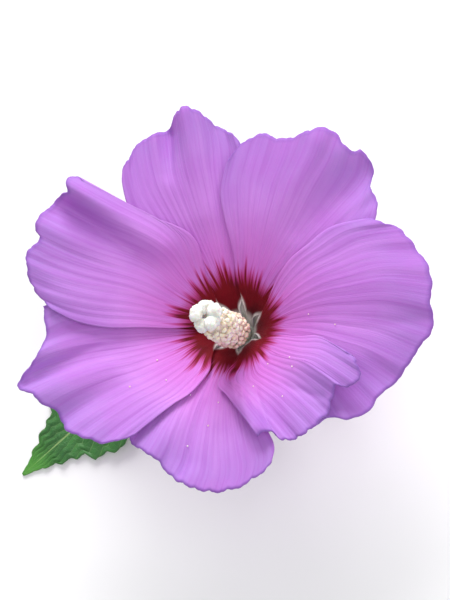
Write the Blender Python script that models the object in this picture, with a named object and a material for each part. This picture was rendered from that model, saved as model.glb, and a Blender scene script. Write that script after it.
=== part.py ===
# Cut rose of sharon flower, lying face up on a short length of its stem, with one leaf.
# Blender works in metres with +Z up. Lengths below are in millimetres, turned to metres by MM.
# +X is the flower's right and +Y its top, as seen from above. Pieces are made about the flower's
# axis, which is the line x = y = 0, and are moved together at the end.
# Headings are degrees counter-clockwise from +X, and reaches are distances from the axis in plan.

import math

import bmesh
import bpy
import numpy as np
from mathutils import Vector

MM = 0.001

# Driving sizes of the corolla: a trumpet with a steep tube at the foot, which flares to a wide face
BASE_HEIGHT = 12.5        # where the petals' claws start, above the floor
CLAW_REACH = 2.9          # radius of the ring of claws
FLARE_RISE = 24.0         # height gained by the flare
FLARE_LENGTH = 20.0       # how slowly it turns outwards
TUBE_RISE = 4.5           # height gained in the steep tube
TUBE_LENGTH = 1.3
PETAL_THICKNESS = 0.55
CLAW_HALF_ANGLE = 16.0    # half the width of a claw, seen from the axis

# How far neighbouring petals stand apart where they overlap, either side of the trumpet
LAYER_AT_THROAT = 0.5
LAYER_AT_RIM = 0.6        # added towards the rim
THROAT_SPAN = (4.3, 6.8)
RIM_SPAN = (8.0, 28.0)

PETAL_COLUMNS = 24
PETAL_ROWS = 12
CLAW_CROWDING = 1.35      # above 1, rows stand closer together near the claw

# The column of fused stamens, which leans to -Y and then straightens
COLUMN_FOOT = BASE_HEIGHT - 0.75
COLUMN_TOP = 43.5
COLUMN_RADII = ((0.0, 1.9), (0.12, 1.7), (0.32, 2.3), (0.5, 3.6), (0.85, 3.4), (1.0, 1.8))
COLUMN_LEAN = -3.6
COLUMN_SIDE = 0.6
ANTHER_COUNT = 66
ANTHER_RADIUS = 1.05
ANTHER_SPAN = (0.36, 0.97)
STYLE_TOP = 49.5
STIGMA_COUNT = 5
STIGMA_RADIUS = 1.35

# The green cup under the petals and the narrow bracts round it
SEPAL_COUNT = 5
CALYX_THICKNESS = 0.6
CALYX_FLOOR = BASE_HEIGHT - 1.5
CALYX_DROP = (1.1, 2.2)   # how far it lies below the trumpet, at the claws and at its lobes
CALYX_REACH = (0.52, 0.95)  # shares of its section, between the lobes and at a lobe's tip
BRACT_COUNT = 7
BRACT_SPAN = (0.125, 0.74)
BRACT_WIDTH = 1.5
BRACT_THICKNESS = 0.5

# The short length of stem that carries the flower and the leaf
TWIG_RADIUS = 2.3
TWIG_NODE = (5.8, 5.8)    # where the flower stalk leaves it, in plan
TWIG_HEADING = 135.0
TWIG_TOP_LENGTH = 38.0
TWIG_FOOT_LENGTH = 20.0
STALK_RADIUS = 1.25
SEAT_GAP = 0.3            # between pieces that grow out of one another

# The leaf lies on the floor to the lower left, its tip showing beyond the petals
LEAF_TIP = (-61.3, -30.7)
LEAF_HEADING = 39.5       # from the tip towards its stalk
LEAF_LENGTH = 50.0
LEAF_THICKNESS = 0.6
LEAF_ARCH = 6.0           # how far it rises between these distances from its tip
LEAF_ARCH_SPAN = (14.0, LEAF_LENGTH)
LEAF_TROUGH = 0.45        # how far its halves stand above the midrib
LEAF_TROUGH_WIDTH = 3.0
LEAF_STALK_CLEAR = 1.2    # from the twig's side to the middle of the stalk's slanting end
LEAF_STALK_SEAT = 4.5     # how far up the twig from its node the leaf's stalk starts
LEAF_STALK_RADII = (1.1, 0.8)


def smooth_step(low, high, value):
    """0 below low, 1 above high and an even curve between."""
    t = np.clip((value - low) / (high - low), 0.0, 1.0)
    return t * t * (3.0 - 2.0 * t)


def trumpet_height(reach):
    """Height of the corolla above the floor at a distance from its axis."""
    out = np.maximum(0.0, reach - CLAW_REACH)
    flare = FLARE_RISE * (1.0 - np.exp(-out / FLARE_LENGTH))
    tube = TUBE_RISE * (1.0 - np.exp(-out / TUBE_LENGTH))
    return BASE_HEIGHT + flare + tube


def trumpet_slope(reach):
    out = np.maximum(0.0, reach - CLAW_REACH)
    flare = FLARE_RISE / FLARE_LENGTH * np.exp(-out / FLARE_LENGTH)
    return flare + TUBE_RISE / TUBE_LENGTH * np.exp(-out / TUBE_LENGTH)


def sway(x, y):
    """Slow waves that all petals share, so that they stay the same distance apart."""
    reach = np.hypot(x, y)
    heading = np.arctan2(y, x)
    waves = 1.3 * np.cos(2.0 * heading + 0.6) + 0.9 * np.cos(3.0 * heading - 1.2)
    return waves * smooth_step(12.0, 48.0, reach)


def on_trumpet(x, y, lift):
    """Points over plan places x, y, lifted off the trumpet along its own normal."""
    reach = np.maximum(np.hypot(x, y), 1e-6)
    steep = np.arctan(trumpet_slope(reach))
    moved = reach - lift * np.sin(steep)
    height = trumpet_height(reach) + lift * np.cos(steep) + sway(x, y)
    return np.stack([x / reach * moved, y / reach * moved, height], axis=-1)


def plan(points):
    """(heading, reach) pairs as plan places."""
    headings = np.radians([p[0] for p in points])
    reaches = np.array([p[1] for p in points])
    return np.stack([reaches * np.cos(headings), reaches * np.sin(headings)], axis=1)


def curve_through(points, count):
    """A smooth curve through the points, as count places evenly spaced along it."""
    ends = np.vstack([2 * points[0] - points[1], points, 2 * points[-1] - points[-2]])
    fine = []
    for before, start, stop, after in zip(ends, ends[1:], ends[2:], ends[3:]):
        for t in np.linspace(0.0, 1.0, 12, endpoint=False):
            fine.append(
                start
                + 0.5 * t * (stop - before)
                + t * t * (before - 2.5 * start + 2.0 * stop - 0.5 * after)
                + t ** 3 * (1.5 * start - 1.5 * stop + 0.5 * after - 0.5 * before)
            )
    fine = np.array(fine + [points[-1]])
    along = np.concatenate([[0.0], np.cumsum(np.linalg.norm(np.diff(fine, axis=0), axis=1))])
    at = np.linspace(0.0, along[-1], count)
    return np.stack([np.interp(at, along, fine[:, axis]) for axis in range(fine.shape[1])], axis=1)


# Each petal's outline as (heading, reach): the right side and the left side run from the claw to
# the rim, and the rim runs from the right side to the left. A side that lies under a neighbour
# is a plain curve past that neighbour's edge. The petal is under its right-hand neighbour up to
# the first heading of layers and over its left-hand one from the second. Folds are ridges, or
# valleys where the height is negative: (heading, reach, height) at each end, then the width.
PETALS = {
    "petal_right": {
        "claw": -4.0,
        "right": ((-30, 7), (-35, 12), (-41, 20), (-46, 29), (-50, 35.5)),
        "rim": ((-44, 36.9), (-41, 40.4), (-35.9, 42.4), (-30.8, 42.6), (-25.7, 44.5), (-19.7, 46.3),
                (-14, 48.4), (-9.1, 50.9), (-0.6, 50.9), (6.1, 51.3), (12.8, 49.1), (19.9, 46.9)),
        "left": ((19.6, 7.8), (26.6, 10.7), (36.3, 16.6), (37.6, 21.6), (35.8, 26.5), (34, 33.4),
                 (28, 41.3)),
        "layers": (-12, 19),
        "folds": (((-30, 36, -1.2), (-24, 47, -2), 6), ((2, 22, 1), (4, 46, 1.4), 13)),
    },
    "petal_top_right": {
        "claw": 50.0,
        "right": ((23, 7), (22, 12), (21, 20), (20, 30), (22, 38), (27, 41.5)),
        "rim": ((31.2, 44.3), (38.2, 46.2), (41.3, 48.8), (46.3, 50.5), (48, 48.6), (55.5, 50.1),
                (60.3, 48.3), (65.5, 44.7), (69.9, 43.8), (76.2, 43.9), (82.3, 40.9)),
        "left": ((73.7, 7.4), (81.5, 11.3), (83.8, 17.4), (88.4, 24.3), (89.8, 29.3), (88, 34.3),
                 (86.2, 37.4)),
        "layers": (42, 70),
        "folds": (((46, 28, -1), (41, 47, -3), 4), ((62, 20, 1), (57, 46, 3), 10)),
    },
    "petal_top_left": {
        "claw": 101.0,
        "right": ((76, 7), (74, 12), (75, 20), (77, 30), (79, 37), (82, 41)),
        "rim": ((87.1, 44.3), (90.9, 45.8), (95.4, 49.5), (98.9, 51), (102.1, 49.8), (105.9, 47.4),
                (110.4, 47.6), (116.2, 46.3), (120.1, 44.3)),
        "left": ((127, 7), (130, 12), (131, 20), (131, 27), (130, 34), (126, 40), (123, 43)),
        "layers": (200, 300),
        "folds": (((99, 50, 3.2), (101, 26, 1), 3.6), ((106, 47, -2.2), (110, 38, -0.6), 2.4)),
    },
    "petal_left": {
        "claw": 149.0,
        "right": ((122.6, 8.2), (115.6, 13.5), (109.6, 19.1), (111.6, 22.6), (117.7, 26),
                  (123.7, 29.3), (129.7, 34.3), (133.8, 38.7)),
        "rim": ((135.3, 42.3), (134.3, 47.4), (136.9, 48.3), (139.5, 46.8), (142.1, 48.1),
                (148.2, 49.5), (153.3, 49), (155.4, 47.3), (160.5, 48.7), (165.4, 47.6), (170.3, 45.3)),
        "left": ((177, 7.2), (184.7, 13.2), (184.2, 20.1), (183.6, 28), (180.6, 34.7), (176.5, 40.5)),
        "layers": (0, 60),
        "folds": (((138.5, 47.5, 4.4), (131, 24, 1.6), 3.6), ((143.5, 46, -2.4), (143, 24, -1.2), 3.4),
                  ((170, 46, -1.2), (160, 47, 0.6), 6)),
    },
    "petal_lower_left": {
        "claw": 202.0,
        "right": ((176, 7), (173, 12), (171, 20), (170, 30), (172, 38), (175, 43)),
        "rim": ((182.8, 42.2), (190.2, 44.4), (194.5, 49.3), (197.2, 51.3), (201.2, 48.6), (205, 47),
                (208.9, 44.9), (215.3, 45.2), (222, 42.7), (228.1, 40.2)),
        "left": ((229, 7.6), (239.5, 9.9), (248.2, 13.4), (246, 19.5), (240.8, 23.9), (237.6, 28.3),
                 (234.3, 35.2)),
        "layers": (188, 221),
        "folds": (((192, 50, 2.6), (188, 30, 0.6), 3.2), ((196, 50, -2.8), (193, 30, -0.6), 2.6),
                  ((203, 50, 2.2), (204, 30, 0.8), 3.4), ((211, 46, -3), (213, 26, -0.8), 4.2)),
    },
    "petal_bottom": {
        "claw": 252.0,
        "right": ((227, 7), (226, 12), (226, 20), (228, 27), (230, 33)),
        "rim": ((233, 35.9), (239.6, 36.8), (245.9, 37.1), (253.2, 39.4), (261.4, 41.2), (269.5, 41.8),
                (277.6, 41.1), (283.6, 39.5)),
        "left": ((278, 7), (283, 12), (288, 20), (291, 28), (292, 33.5), (289, 37.2)),
        "layers": (400, 500),
        "folds": (((250, 18, 0.8), (244, 36, 1.8), 4), ((256, 18, -0.8), (258, 34, -1.4), 4)),
    },
    "petal_lower_right": {
        "claw": 304.0,
        "right": ((280.3, 7.8), (273, 11), (264.8, 13.8), (263.1, 16.6), (271.2, 19), (278.4, 22.7),
                  (285.7, 29), (287.8, 32.1)),
        "rim": ((293.3, 31.2), (296.1, 34.3), (302.2, 36), (308.1, 36.5), (315.1, 36.4), (321.9, 35.3),
                (325.8, 34.8), (327.7, 38.1), (332.5, 39), (337.2, 37)),
        "left": ((328.1, 8.3), (337.8, 11.3), (340.9, 15.9), (341.9, 20.5), (344, 25), (341.6, 29.7),
                 (339.1, 34.4)),
        "layers": (0, 60),
        "folds": (((272, 12, 0.8), (287, 30, 2.6), 2.4), ((290, 14, -0.4), (297, 34, -0.4), 3),
                  ((322, 14, 0.8), (334, 36, 2.8), 7)),
    },
}


def petal_plan(petal, u, v):
    """Plan places inside a petal's outline: u runs 0 to 1 from right to left, v from claw to rim."""
    fine = 161
    claw = petal["claw"]
    right_foot = (claw - CLAW_HALF_ANGLE, CLAW_REACH)
    left_foot = (claw + CLAW_HALF_ANGLE, CLAW_REACH)
    waist = 4.8
    right = curve_through(plan((right_foot, (claw - CLAW_HALF_ANGLE, waist)) + petal["right"]), fine)
    left = curve_through(plan((left_foot, (claw + CLAW_HALF_ANGLE, waist)) + petal["left"]), fine)
    rim = curve_through(plan((petal["right"][-1],) + petal["rim"] + (petal["left"][-1],)), fine)
    foot = np.linspace(right[0], left[0], fine)
    at = np.linspace(0.0, 1.0, fine)

    def along(curve, t):
        return np.stack([np.interp(t, at, curve[:, axis]) for axis in range(2)], axis=-1)

    u2, v2 = u[:, None], v[:, None]
    sides = (1 - u2) * along(right, v) + u2 * along(left, v)
    ends = (1 - v2) * along(foot, u) + v2 * along(rim, u)
    corners = (1 - v2) * ((1 - u2) * right[0] + u2 * left[0]) + v2 * ((1 - u2) * right[-1] + u2 * left[-1])
    return sides + ends - corners


def layer_lift(petal, x, y):
    """How far a petal stands above or below the trumpet, so that it passes over or under its neighbours."""
    reach = np.hypot(x, y)
    claw = petal["claw"]
    heading = claw + (np.degrees(np.arctan2(y, x)) - claw + 180.0) % 360.0 - 180.0
    under_until, over_from = petal["layers"]
    side = 2.0 * smooth_step(under_until, over_from, heading) - 1.0
    apart = LAYER_AT_THROAT * smooth_step(*THROAT_SPAN, reach)
    apart += LAYER_AT_RIM * smooth_step(*RIM_SPAN, reach)
    return side * apart


def fold_lift(petal, x, y):
    """Ridges and valleys, each along a straight line in plan with a rounded cross-section."""
    lift = np.zeros_like(x)
    for start, end, width in petal["folds"]:
        foot, head = plan((start[:2], end[:2]))
        run = head - foot
        t = ((x - foot[0]) * run[0] + (y - foot[1]) * run[1]) / (run @ run)
        t = np.clip(t, 0.0, 1.0)
        away = np.hypot(x - foot[0] - t * run[0], y - foot[1] - t * run[1])
        height = start[2] + t * (end[2] - start[2])
        lift += height * np.exp(-((away / width) ** 2))
    return lift


def material(name, colour, roughness):
    made = bpy.data.materials.new(name)
    made.use_nodes = True
    shader = made.node_tree.nodes["Principled BSDF"]
    shader.inputs["Base Color"].default_value = (*colour, 1.0)
    shader.inputs["Roughness"].default_value = roughness
    shader.inputs["Metallic"].default_value = 0.0
    return made


PETAL_FINISH = material("petal_mauve", (0.50, 0.20, 0.62), 0.6)
STAMEN_FINISH = material("stamen_cream", (0.85, 0.76, 0.56), 0.7)
STIGMA_FINISH = material("stigma_white", (0.90, 0.90, 0.84), 0.6)
SEPAL_FINISH = material("sepal_green", (0.22, 0.34, 0.12), 0.7)
LEAF_FINISH = material("leaf_green", (0.06, 0.17, 0.04), 0.55)
BARK_FINISH = material("young_bark", (0.27, 0.24, 0.16), 0.8)


def add_object(name, bm, finish):
    mesh = bpy.data.meshes.new(name)
    bm.to_mesh(mesh)
    bm.free()
    mesh.shade_smooth()
    mesh.materials.append(finish)
    made = bpy.data.objects.new(name, mesh)
    bpy.context.scene.collection.objects.link(made)
    return made


def sheet(name, place, columns, rows, thickness, finish, closed=False):
    """A grid bent into a sheet by place(u, v), in millimetres, and given its thickness."""
    bm = bmesh.new()
    bmesh.ops.create_grid(bm, x_segments=columns, y_segments=rows, size=0.5)
    flat = np.array([v.co for v in bm.verts]) + 0.5
    for vert, point in zip(bm.verts, place(flat[:, 0], flat[:, 1])):
        vert.co = point * MM
    if closed:
        bmesh.ops.remove_doubles(bm, verts=bm.verts, dist=0.01 * MM)
    made = add_object(name, bm, finish)
    wall = made.modifiers.new("wall", "SOLIDIFY")
    wall.thickness = thickness * MM
    wall.offset = 0.0
    return made


def make_petal(name, petal):
    def place(u, v):
        flat = petal_plan(petal, u, v ** CLAW_CROWDING)
        x, y = flat[:, 0], flat[:, 1]
        return on_trumpet(x, y, layer_lift(petal, x, y) + fold_lift(petal, x, y))

    return sheet(name, place, PETAL_COLUMNS, PETAL_ROWS, PETAL_THICKNESS, PETAL_FINISH)


def column_centre(height):
    """The column's middle line: it leans to -Y from its foot and straightens towards its end."""
    t = (height - COLUMN_FOOT) / (STYLE_TOP - COLUMN_FOOT)
    bend = np.sin(np.clip(t, 0.0, 1.2) * 0.5 * math.pi)
    return np.array([COLUMN_SIDE * t, COLUMN_LEAN * bend, height])


def ball(centre, radius, subdivisions, stretch=(1.0, 1.0, 1.0)):
    bm = bmesh.new()
    bmesh.ops.create_icosphere(bm, subdivisions=subdivisions, radius=radius * MM)
    bmesh.ops.scale(bm, vec=stretch, verts=bm.verts)
    bmesh.ops.translate(bm, vec=centre * MM, verts=bm.verts)
    return bm


def turned(rings, sides):
    """A closed round body through level rings, each a (centre, radius), bottom to top."""
    bm = bmesh.new()
    verts = bmesh.ops.create_circle(bm, segments=sides, radius=MM)["verts"]
    edges = bm.edges[:]
    middle, radius = Vector(), 1.0
    for step, (centre, next_radius) in enumerate(rings):
        if step:
            grown = bmesh.ops.extrude_edge_only(bm, edges=edges)["geom"]
            verts = [part for part in grown if isinstance(part, bmesh.types.BMVert)]
            fresh = set(verts)
            edges = [part for part in grown
                     if isinstance(part, bmesh.types.BMEdge) and fresh.issuperset(part.verts)]
        next_middle = Vector(centre * MM)
        for vert in verts:
            vert.co = next_middle + (vert.co - middle) * (next_radius / radius)
        middle, radius = next_middle, next_radius
    bmesh.ops.holes_fill(bm, edges=bm.edges, sides=0)
    bmesh.ops.recalc_face_normals(bm, faces=bm.faces)
    return bm


def join_pieces(name, pieces, finish):
    """One closed body from overlapping pieces, each a bmesh of its own."""
    group = bpy.data.collections.new(name + "_pieces")
    objects = [add_object(f"{name}_piece_{k}", bm, finish) for k, bm in enumerate(pieces)]
    body = objects[0]
    for piece in objects[1:]:
        group.objects.link(piece)
    union = body.modifiers.new("union", "BOOLEAN")
    union.operation = "UNION"
    union.operand_type = "COLLECTION"
    union.collection = group
    union.solver = "EXACT"
    bpy.context.view_layer.update()
    graph = bpy.context.evaluated_depsgraph_get()
    joined = bpy.data.meshes.new_from_object(body.evaluated_get(graph))
    for piece in objects:
        bpy.data.objects.remove(piece)
    bpy.data.collections.remove(group)
    joined.name = name
    made = bpy.data.objects.new(name, joined)
    bpy.context.scene.collection.objects.link(made)
    return made


def make_column():
    """A turned core with an anther standing out of it at each step of a spiral."""
    span = COLUMN_TOP - COLUMN_FOOT
    shares = [share for share, _ in COLUMN_RADII]
    radii = [radius for _, radius in COLUMN_RADII]
    rings = [(column_centre(COLUMN_FOOT + share * span), radius) for share, radius in COLUMN_RADII]
    pieces = [turned(rings, 14)]
    golden_turn = math.pi * (3.0 - math.sqrt(5.0))
    for k in range(ANTHER_COUNT):
        share = ANTHER_SPAN[0] + (ANTHER_SPAN[1] - ANTHER_SPAN[0]) * (k + 0.5) / ANTHER_COUNT
        out = float(np.interp(share, shares, radii)) + 0.3 + 0.25 * math.sin(2.3 * k)
        middle = column_centre(COLUMN_FOOT + share * span)
        turn = k * golden_turn
        centre = middle + np.array([out * math.cos(turn), out * math.sin(turn), 0.0])
        pieces.append(ball(centre, ANTHER_RADIUS, 1))
    return join_pieces("staminal_column", pieces, STAMEN_FINISH)


def make_style():
    """The style leaves the column's end and parts into short arms, each with a round stigma."""
    foot = COLUMN_TOP + SEAT_GAP
    fork = 0.5 * (foot + STYLE_TOP) - 0.6
    stem = ((foot, 0.9), (fork, 1.1), (STYLE_TOP - 1.0, 1.3))
    pieces = [turned([(column_centre(height), radius) for height, radius in stem], 10)]
    for k in range(STIGMA_COUNT):
        turn = 2.0 * math.pi * (k + 0.3) / STIGMA_COUNT
        out = np.array([math.cos(turn), math.sin(turn), 0.0])
        head = column_centre(STYLE_TOP - 1.2 * (k % 2)) + 2.3 * out
        middle = column_centre(fork) + 0.9 * out
        pieces.append(turned([(middle, 0.6), (0.5 * (middle + head), 0.65), (head, 0.7)], 8))
        pieces.append(ball(head, STIGMA_RADIUS, 2, (1.0, 1.0, 0.8)))
    return join_pieces("style_and_stigmas", pieces, STIGMA_FINISH)


def under_trumpet(reach, drop):
    """(out, height) of a point below the trumpet, by a drop along its normal."""
    place = on_trumpet(np.array([reach]), np.array([0.0]), np.array([-drop]))[0]
    return place[0], place[2] - sway(reach, 0.0)


def cup_profile(extra):
    """The cup's section from its middle outwards, extra further from the petals: a floor, then the wall."""
    floor = CALYX_FLOOR - extra
    section = [(0.0, floor), (1.8, floor), (3.0 + 0.6 * extra, floor + 0.15)]
    for reach in (3.1, 3.6, 4.3, 5.5, 7.0, 9.0, 11.5, 14.0, 17.0):
        drop = CALYX_DROP[0] + (CALYX_DROP[1] - CALYX_DROP[0]) * smooth_step(3.2, 7.0, reach)
        section.append(under_trumpet(reach, drop + extra))
    return curve_through(np.array(section), 161)


def along_profile(profile, share):
    at = np.linspace(0.0, 1.0, len(profile))
    return np.interp(share, at, profile[:, 0]), np.interp(share, at, profile[:, 1])


def make_calyx():
    """A bell-shaped cup whose edge rises into pointed lobes, spread against the petals' backs."""
    profile = cup_profile(0.0)
    between, tip = CALYX_REACH

    def place(u, v):
        heading = 2.0 * math.pi * u
        from_middle = np.abs((u * SEPAL_COUNT) % 1.0 - 0.5) * 2.0
        edge = between + (tip - between) * (1.0 - from_middle) ** 0.8
        out, height = along_profile(profile, v * edge)
        x, y = out * np.cos(heading), out * np.sin(heading)
        return np.column_stack([x, y, height + sway(x, y)])

    return sheet("calyx", place, 30, 13, CALYX_THICKNESS, SEPAL_FINISH, closed=True)


def make_bract(k):
    """A narrow strip from under the cup, out and up beside its wall, with its tip bent away."""
    turn = 2.0 * math.pi * (k + 0.5) / BRACT_COUNT
    along = np.array([math.cos(turn), math.sin(turn), 0.0])
    across = np.array([-math.sin(turn), math.cos(turn), 0.0])
    profile = cup_profile(0.5 * (CALYX_THICKNESS + BRACT_THICKNESS) + SEAT_GAP + 0.1)
    start, stop = BRACT_SPAN

    def place(u, v):
        out, height = along_profile(profile, start + (stop - start) * v)
        out = out + 2.6 * smooth_step(0.35, 1.0, v)
        height = height - 3.2 * smooth_step(0.35, 1.0, v)
        taper = np.clip(0.6 + 1.6 * v, 0.0, 1.0) * np.sqrt(np.clip(1.05 - v ** 3, 0.0, 1.0))
        half = 0.5 * BRACT_WIDTH * taper
        side = (2.0 * u - 1.0) * half
        return out[:, None] * along + side[:, None] * across + height[:, None] * np.array([0.0, 0.0, 1.0])

    return sheet(f"epicalyx_bract_{k + 1}", place, 2, 8, BRACT_THICKNESS, SEPAL_FINISH)


def limb(name, points, radii, finish, resolution=3):
    """A round limb along a smooth curve, with flat ends and a radius at each point."""
    curve = bpy.data.curves.new(name, "CURVE")
    curve.dimensions = "3D"
    curve.bevel_depth = MM
    curve.bevel_resolution = resolution
    curve.use_fill_caps = True
    run = curve.splines.new("POLY")
    run.points.add(len(points) - 1)
    for spot, point, radius in zip(run.points, points, radii):
        spot.co = (*(point * MM), 1.0)
        spot.radius = radius
    curve.materials.append(finish)
    made = bpy.data.objects.new(name, curve)
    bpy.context.scene.collection.objects.link(made)
    return made


def twig_radius(along):
    """It tapers from its lower cut to its upper one and swells at the node."""
    share = (along + TWIG_FOOT_LENGTH) / (TWIG_FOOT_LENGTH + TWIG_TOP_LENGTH)
    return TWIG_RADIUS * (1.0 - 0.14 * share) + 0.35 * math.exp(-((along / 4.0) ** 2))


def twig_point(along):
    """The twig's middle line: it lies along the floor, nearly straight."""
    heading = math.radians(TWIG_HEADING)
    bow = 0.9 * (along / TWIG_TOP_LENGTH) ** 2
    x = TWIG_NODE[0] + along * math.cos(heading) + bow * math.sin(heading)
    y = TWIG_NODE[1] + along * math.sin(heading) - bow * math.cos(heading)
    return np.array([x, y, twig_radius(along)])


def make_twig():
    steps = np.linspace(-TWIG_FOOT_LENGTH, TWIG_TOP_LENGTH, 15)
    points = [twig_point(step) for step in steps]
    return limb("twig", points, [twig_radius(step) for step in steps], BARK_FINISH, 4)


def make_flower_stalk():
    """The flower's own stalk: out of the twig's node, bending up to the middle of the calyx."""
    top = CALYX_FLOOR - 0.5 * CALYX_THICKNESS - SEAT_GAP
    leave = twig_point(0.0)
    towards = np.array([-TWIG_NODE[0], -TWIG_NODE[1], 0.0]) / math.hypot(*TWIG_NODE)
    start = leave + towards * (twig_radius(0.0) + SEAT_GAP)
    route = np.array([start, start + 2.0 * towards + np.array([0.0, 0.0, 0.5]), (0.7, 0.7, top - 2.8),
                      (0.0, 0.0, top - 1.0), (0.0, 0.0, top)])
    points = curve_through(route, 11)
    radii = [STALK_RADIUS + 0.65 * smooth_step(0.72, 1.0, t) for t in np.linspace(0.0, 1.0, 11)]
    return limb("flower_stalk", points, radii, SEPAL_FINISH)


# Half widths of the blade along its length from the tip, in millimetres: teeth, then the side
# lobe, then the wedge down to the stalk
LEAF_EDGE = ((0.0, 0.35), (5.1, 2.2), (5.5, 3.1), (8.4, 3.4), (9.5, 5.0), (12.5, 5.4), (13.2, 6.6),
             (16.0, 7.0), (17.0, 10.2), (20.5, 10.6), (22.0, 12.4), (25.0, 12.6), (28.0, 12.0),
             (32.0, 10.8), (38.0, 8.0), (44.0, 4.4), (48.0, 2.0), (50.0, 1.1))


def leaf_rise(along, side):
    """The blade rests on the floor along its midrib near the tip, and rises towards its stalk."""
    arch = LEAF_ARCH * smooth_step(*LEAF_ARCH_SPAN, along)
    trough = LEAF_TROUGH * (1.0 - np.exp(-((side / LEAF_TROUGH_WIDTH) ** 2)))
    return 0.5 * LEAF_THICKNESS + arch + trough


def leaf_frame():
    heading = math.radians(LEAF_HEADING)
    towards = np.array([math.cos(heading), math.sin(heading)])
    return towards, np.array([-towards[1], towards[0]])


def make_leaf():
    towards, across = leaf_frame()
    stations = np.array([0.0, 2.6] + [along for along, _ in LEAF_EDGE[1:]])
    widths = np.interp(stations, [a for a, _ in LEAF_EDGE], [w for _, w in LEAF_EDGE])
    rows = len(stations) - 1

    def place(u, v):
        row = v * rows
        along = np.interp(row, np.arange(rows + 1), stations)
        half = np.interp(row, np.arange(rows + 1), widths)
        side = (2.0 * u - 1.0) * half
        flat = np.array(LEAF_TIP) + along[:, None] * towards + side[:, None] * across
        return np.column_stack([flat, leaf_rise(along, side)])

    return sheet("leaf_blade", place, 6, rows, LEAF_THICKNESS, LEAF_FINISH)


def make_leaf_stalk():
    """From the twig's side up to the blade's foot, in one slight arch."""
    towards, _ = leaf_frame()
    foot = np.array(LEAF_TIP) + (LEAF_LENGTH + 2.0 * SEAT_GAP) * towards
    end = np.array([foot[0], foot[1], float(leaf_rise(LEAF_LENGTH, 0.0))])
    seat = twig_point(LEAF_STALK_SEAT)
    out = (end - seat) * np.array([1.0, 1.0, 0.0])
    out /= np.linalg.norm(out)
    start = seat + out * (twig_radius(LEAF_STALK_SEAT) + LEAF_STALK_CLEAR)
    middle = 0.5 * (start + end)
    middle[2] = end[2] - 0.1
    route = np.array([start, start + 4.0 * out + np.array([0.0, 0.0, 1.2]), middle, end])
    stations = 12
    radii = np.linspace(*LEAF_STALK_RADII, stations)
    return limb("leaf_stalk", curve_through(route, stations), radii, LEAF_FINISH, 2)


def clear_scene():
    for thing in list(bpy.data.objects):
        bpy.data.objects.remove(thing)


def stand_on_origin():
    """Moves every piece alike, so that the middle of the whole box's underside is the origin."""
    graph = bpy.context.evaluated_depsgraph_get()
    spots = []
    for made in bpy.data.objects:
        shape = made.evaluated_get(graph)
        spots += [vert.co[:] for vert in shape.to_mesh().vertices]
        shape.to_mesh_clear()
    low, high = np.min(spots, axis=0), np.max(spots, axis=0)
    shift = Vector((-0.5 * (low[0] + high[0]), -0.5 * (low[1] + high[1]), -low[2]))
    for made in bpy.data.objects:
        made.location = shift
    print("the flower's axis stands at", [round(value / MM, 3) for value in shift], "mm")


def build():
    clear_scene()
    for name, petal in PETALS.items():
        make_petal(name, petal)
    make_column()
    make_style()
    make_calyx()
    for k in range(BRACT_COUNT):
        make_bract(k)
    make_flower_stalk()
    make_twig()
    make_leaf()
    make_leaf_stalk()
    stand_on_origin()


build()
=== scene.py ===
# %% [markdown]
# # A cut rose of sharon flower
# This lesson dresses the plain solids of one open flower with fine meshes and procedural finishes. It
# lies face up on a short cut piece of its stem, with one toothed leaf. The solids come in as a fixed
# frame, in metres, and every new piece is made in the same place, so nothing has to be fitted.

# %% Load the frame
import math

import bmesh
import bpy
import numpy as np
from mathutils import Matrix, Vector, noise


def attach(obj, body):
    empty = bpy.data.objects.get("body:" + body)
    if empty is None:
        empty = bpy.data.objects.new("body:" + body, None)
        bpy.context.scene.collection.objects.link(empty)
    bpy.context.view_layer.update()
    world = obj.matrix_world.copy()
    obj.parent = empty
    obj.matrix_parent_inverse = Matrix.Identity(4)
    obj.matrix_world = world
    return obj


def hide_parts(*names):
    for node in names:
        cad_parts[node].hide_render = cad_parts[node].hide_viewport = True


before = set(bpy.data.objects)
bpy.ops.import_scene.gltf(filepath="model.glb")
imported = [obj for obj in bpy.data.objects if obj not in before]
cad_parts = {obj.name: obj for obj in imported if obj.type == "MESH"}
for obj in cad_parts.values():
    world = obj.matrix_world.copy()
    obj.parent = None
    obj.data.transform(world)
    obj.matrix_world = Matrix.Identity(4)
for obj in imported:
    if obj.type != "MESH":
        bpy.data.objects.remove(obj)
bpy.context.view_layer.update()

# %% [markdown]
# ## Units and the flower's axis
# Sizes below are in millimetres, because a flower is small, and are turned to metres at the last
# moment. Shapes are worked out about the flower's own axis, the line x = y = 0, and then moved to the
# place where that axis stands in the frame. Headings are degrees counter-clockwise from +X.

# %% Units
MM = 0.001
AXIS = np.array([5.213, -4.082, 0.0])
UP = np.array([0.0, 0.0, 1.0])


def in_frame(points):
    """Places about the flower's axis, in millimetres, as places in the frame, in metres."""
    return (np.asarray(points) + AXIS) * MM


def smooth_step(low, high, value):
    """0 below low, 1 above high and an even curve between."""
    t = np.clip((value - low) / (high - low), 0.0, 1.0)
    return t * t * (3.0 - 2.0 * t)


print("the flower's axis stands at", AXIS[:2], "mm")

# %% [markdown]
# ## The camera
# The photo looks almost straight into the flower, from its lower right. A long lens, far away, keeps
# the far petals as large as the near ones. The camera's three directions are worked out from how far
# the flower's axis leans away from the line of sight, which shows in where the column's tip stands
# against its foot. The plain view transform keeps the mauve as strong as it is painted.

# %% Camera
CAMERA_LEAN = math.radians(20.0)         # between the flower's axis and the line of sight
CAMERA_HEADING = math.radians(-42.0)     # the side of the flower that the camera stands on
CAMERA_PLACE = np.array([120.058, -103.777, 474.314])
LENS_MM = 120.0
SENSOR_MM = 36.0

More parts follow.
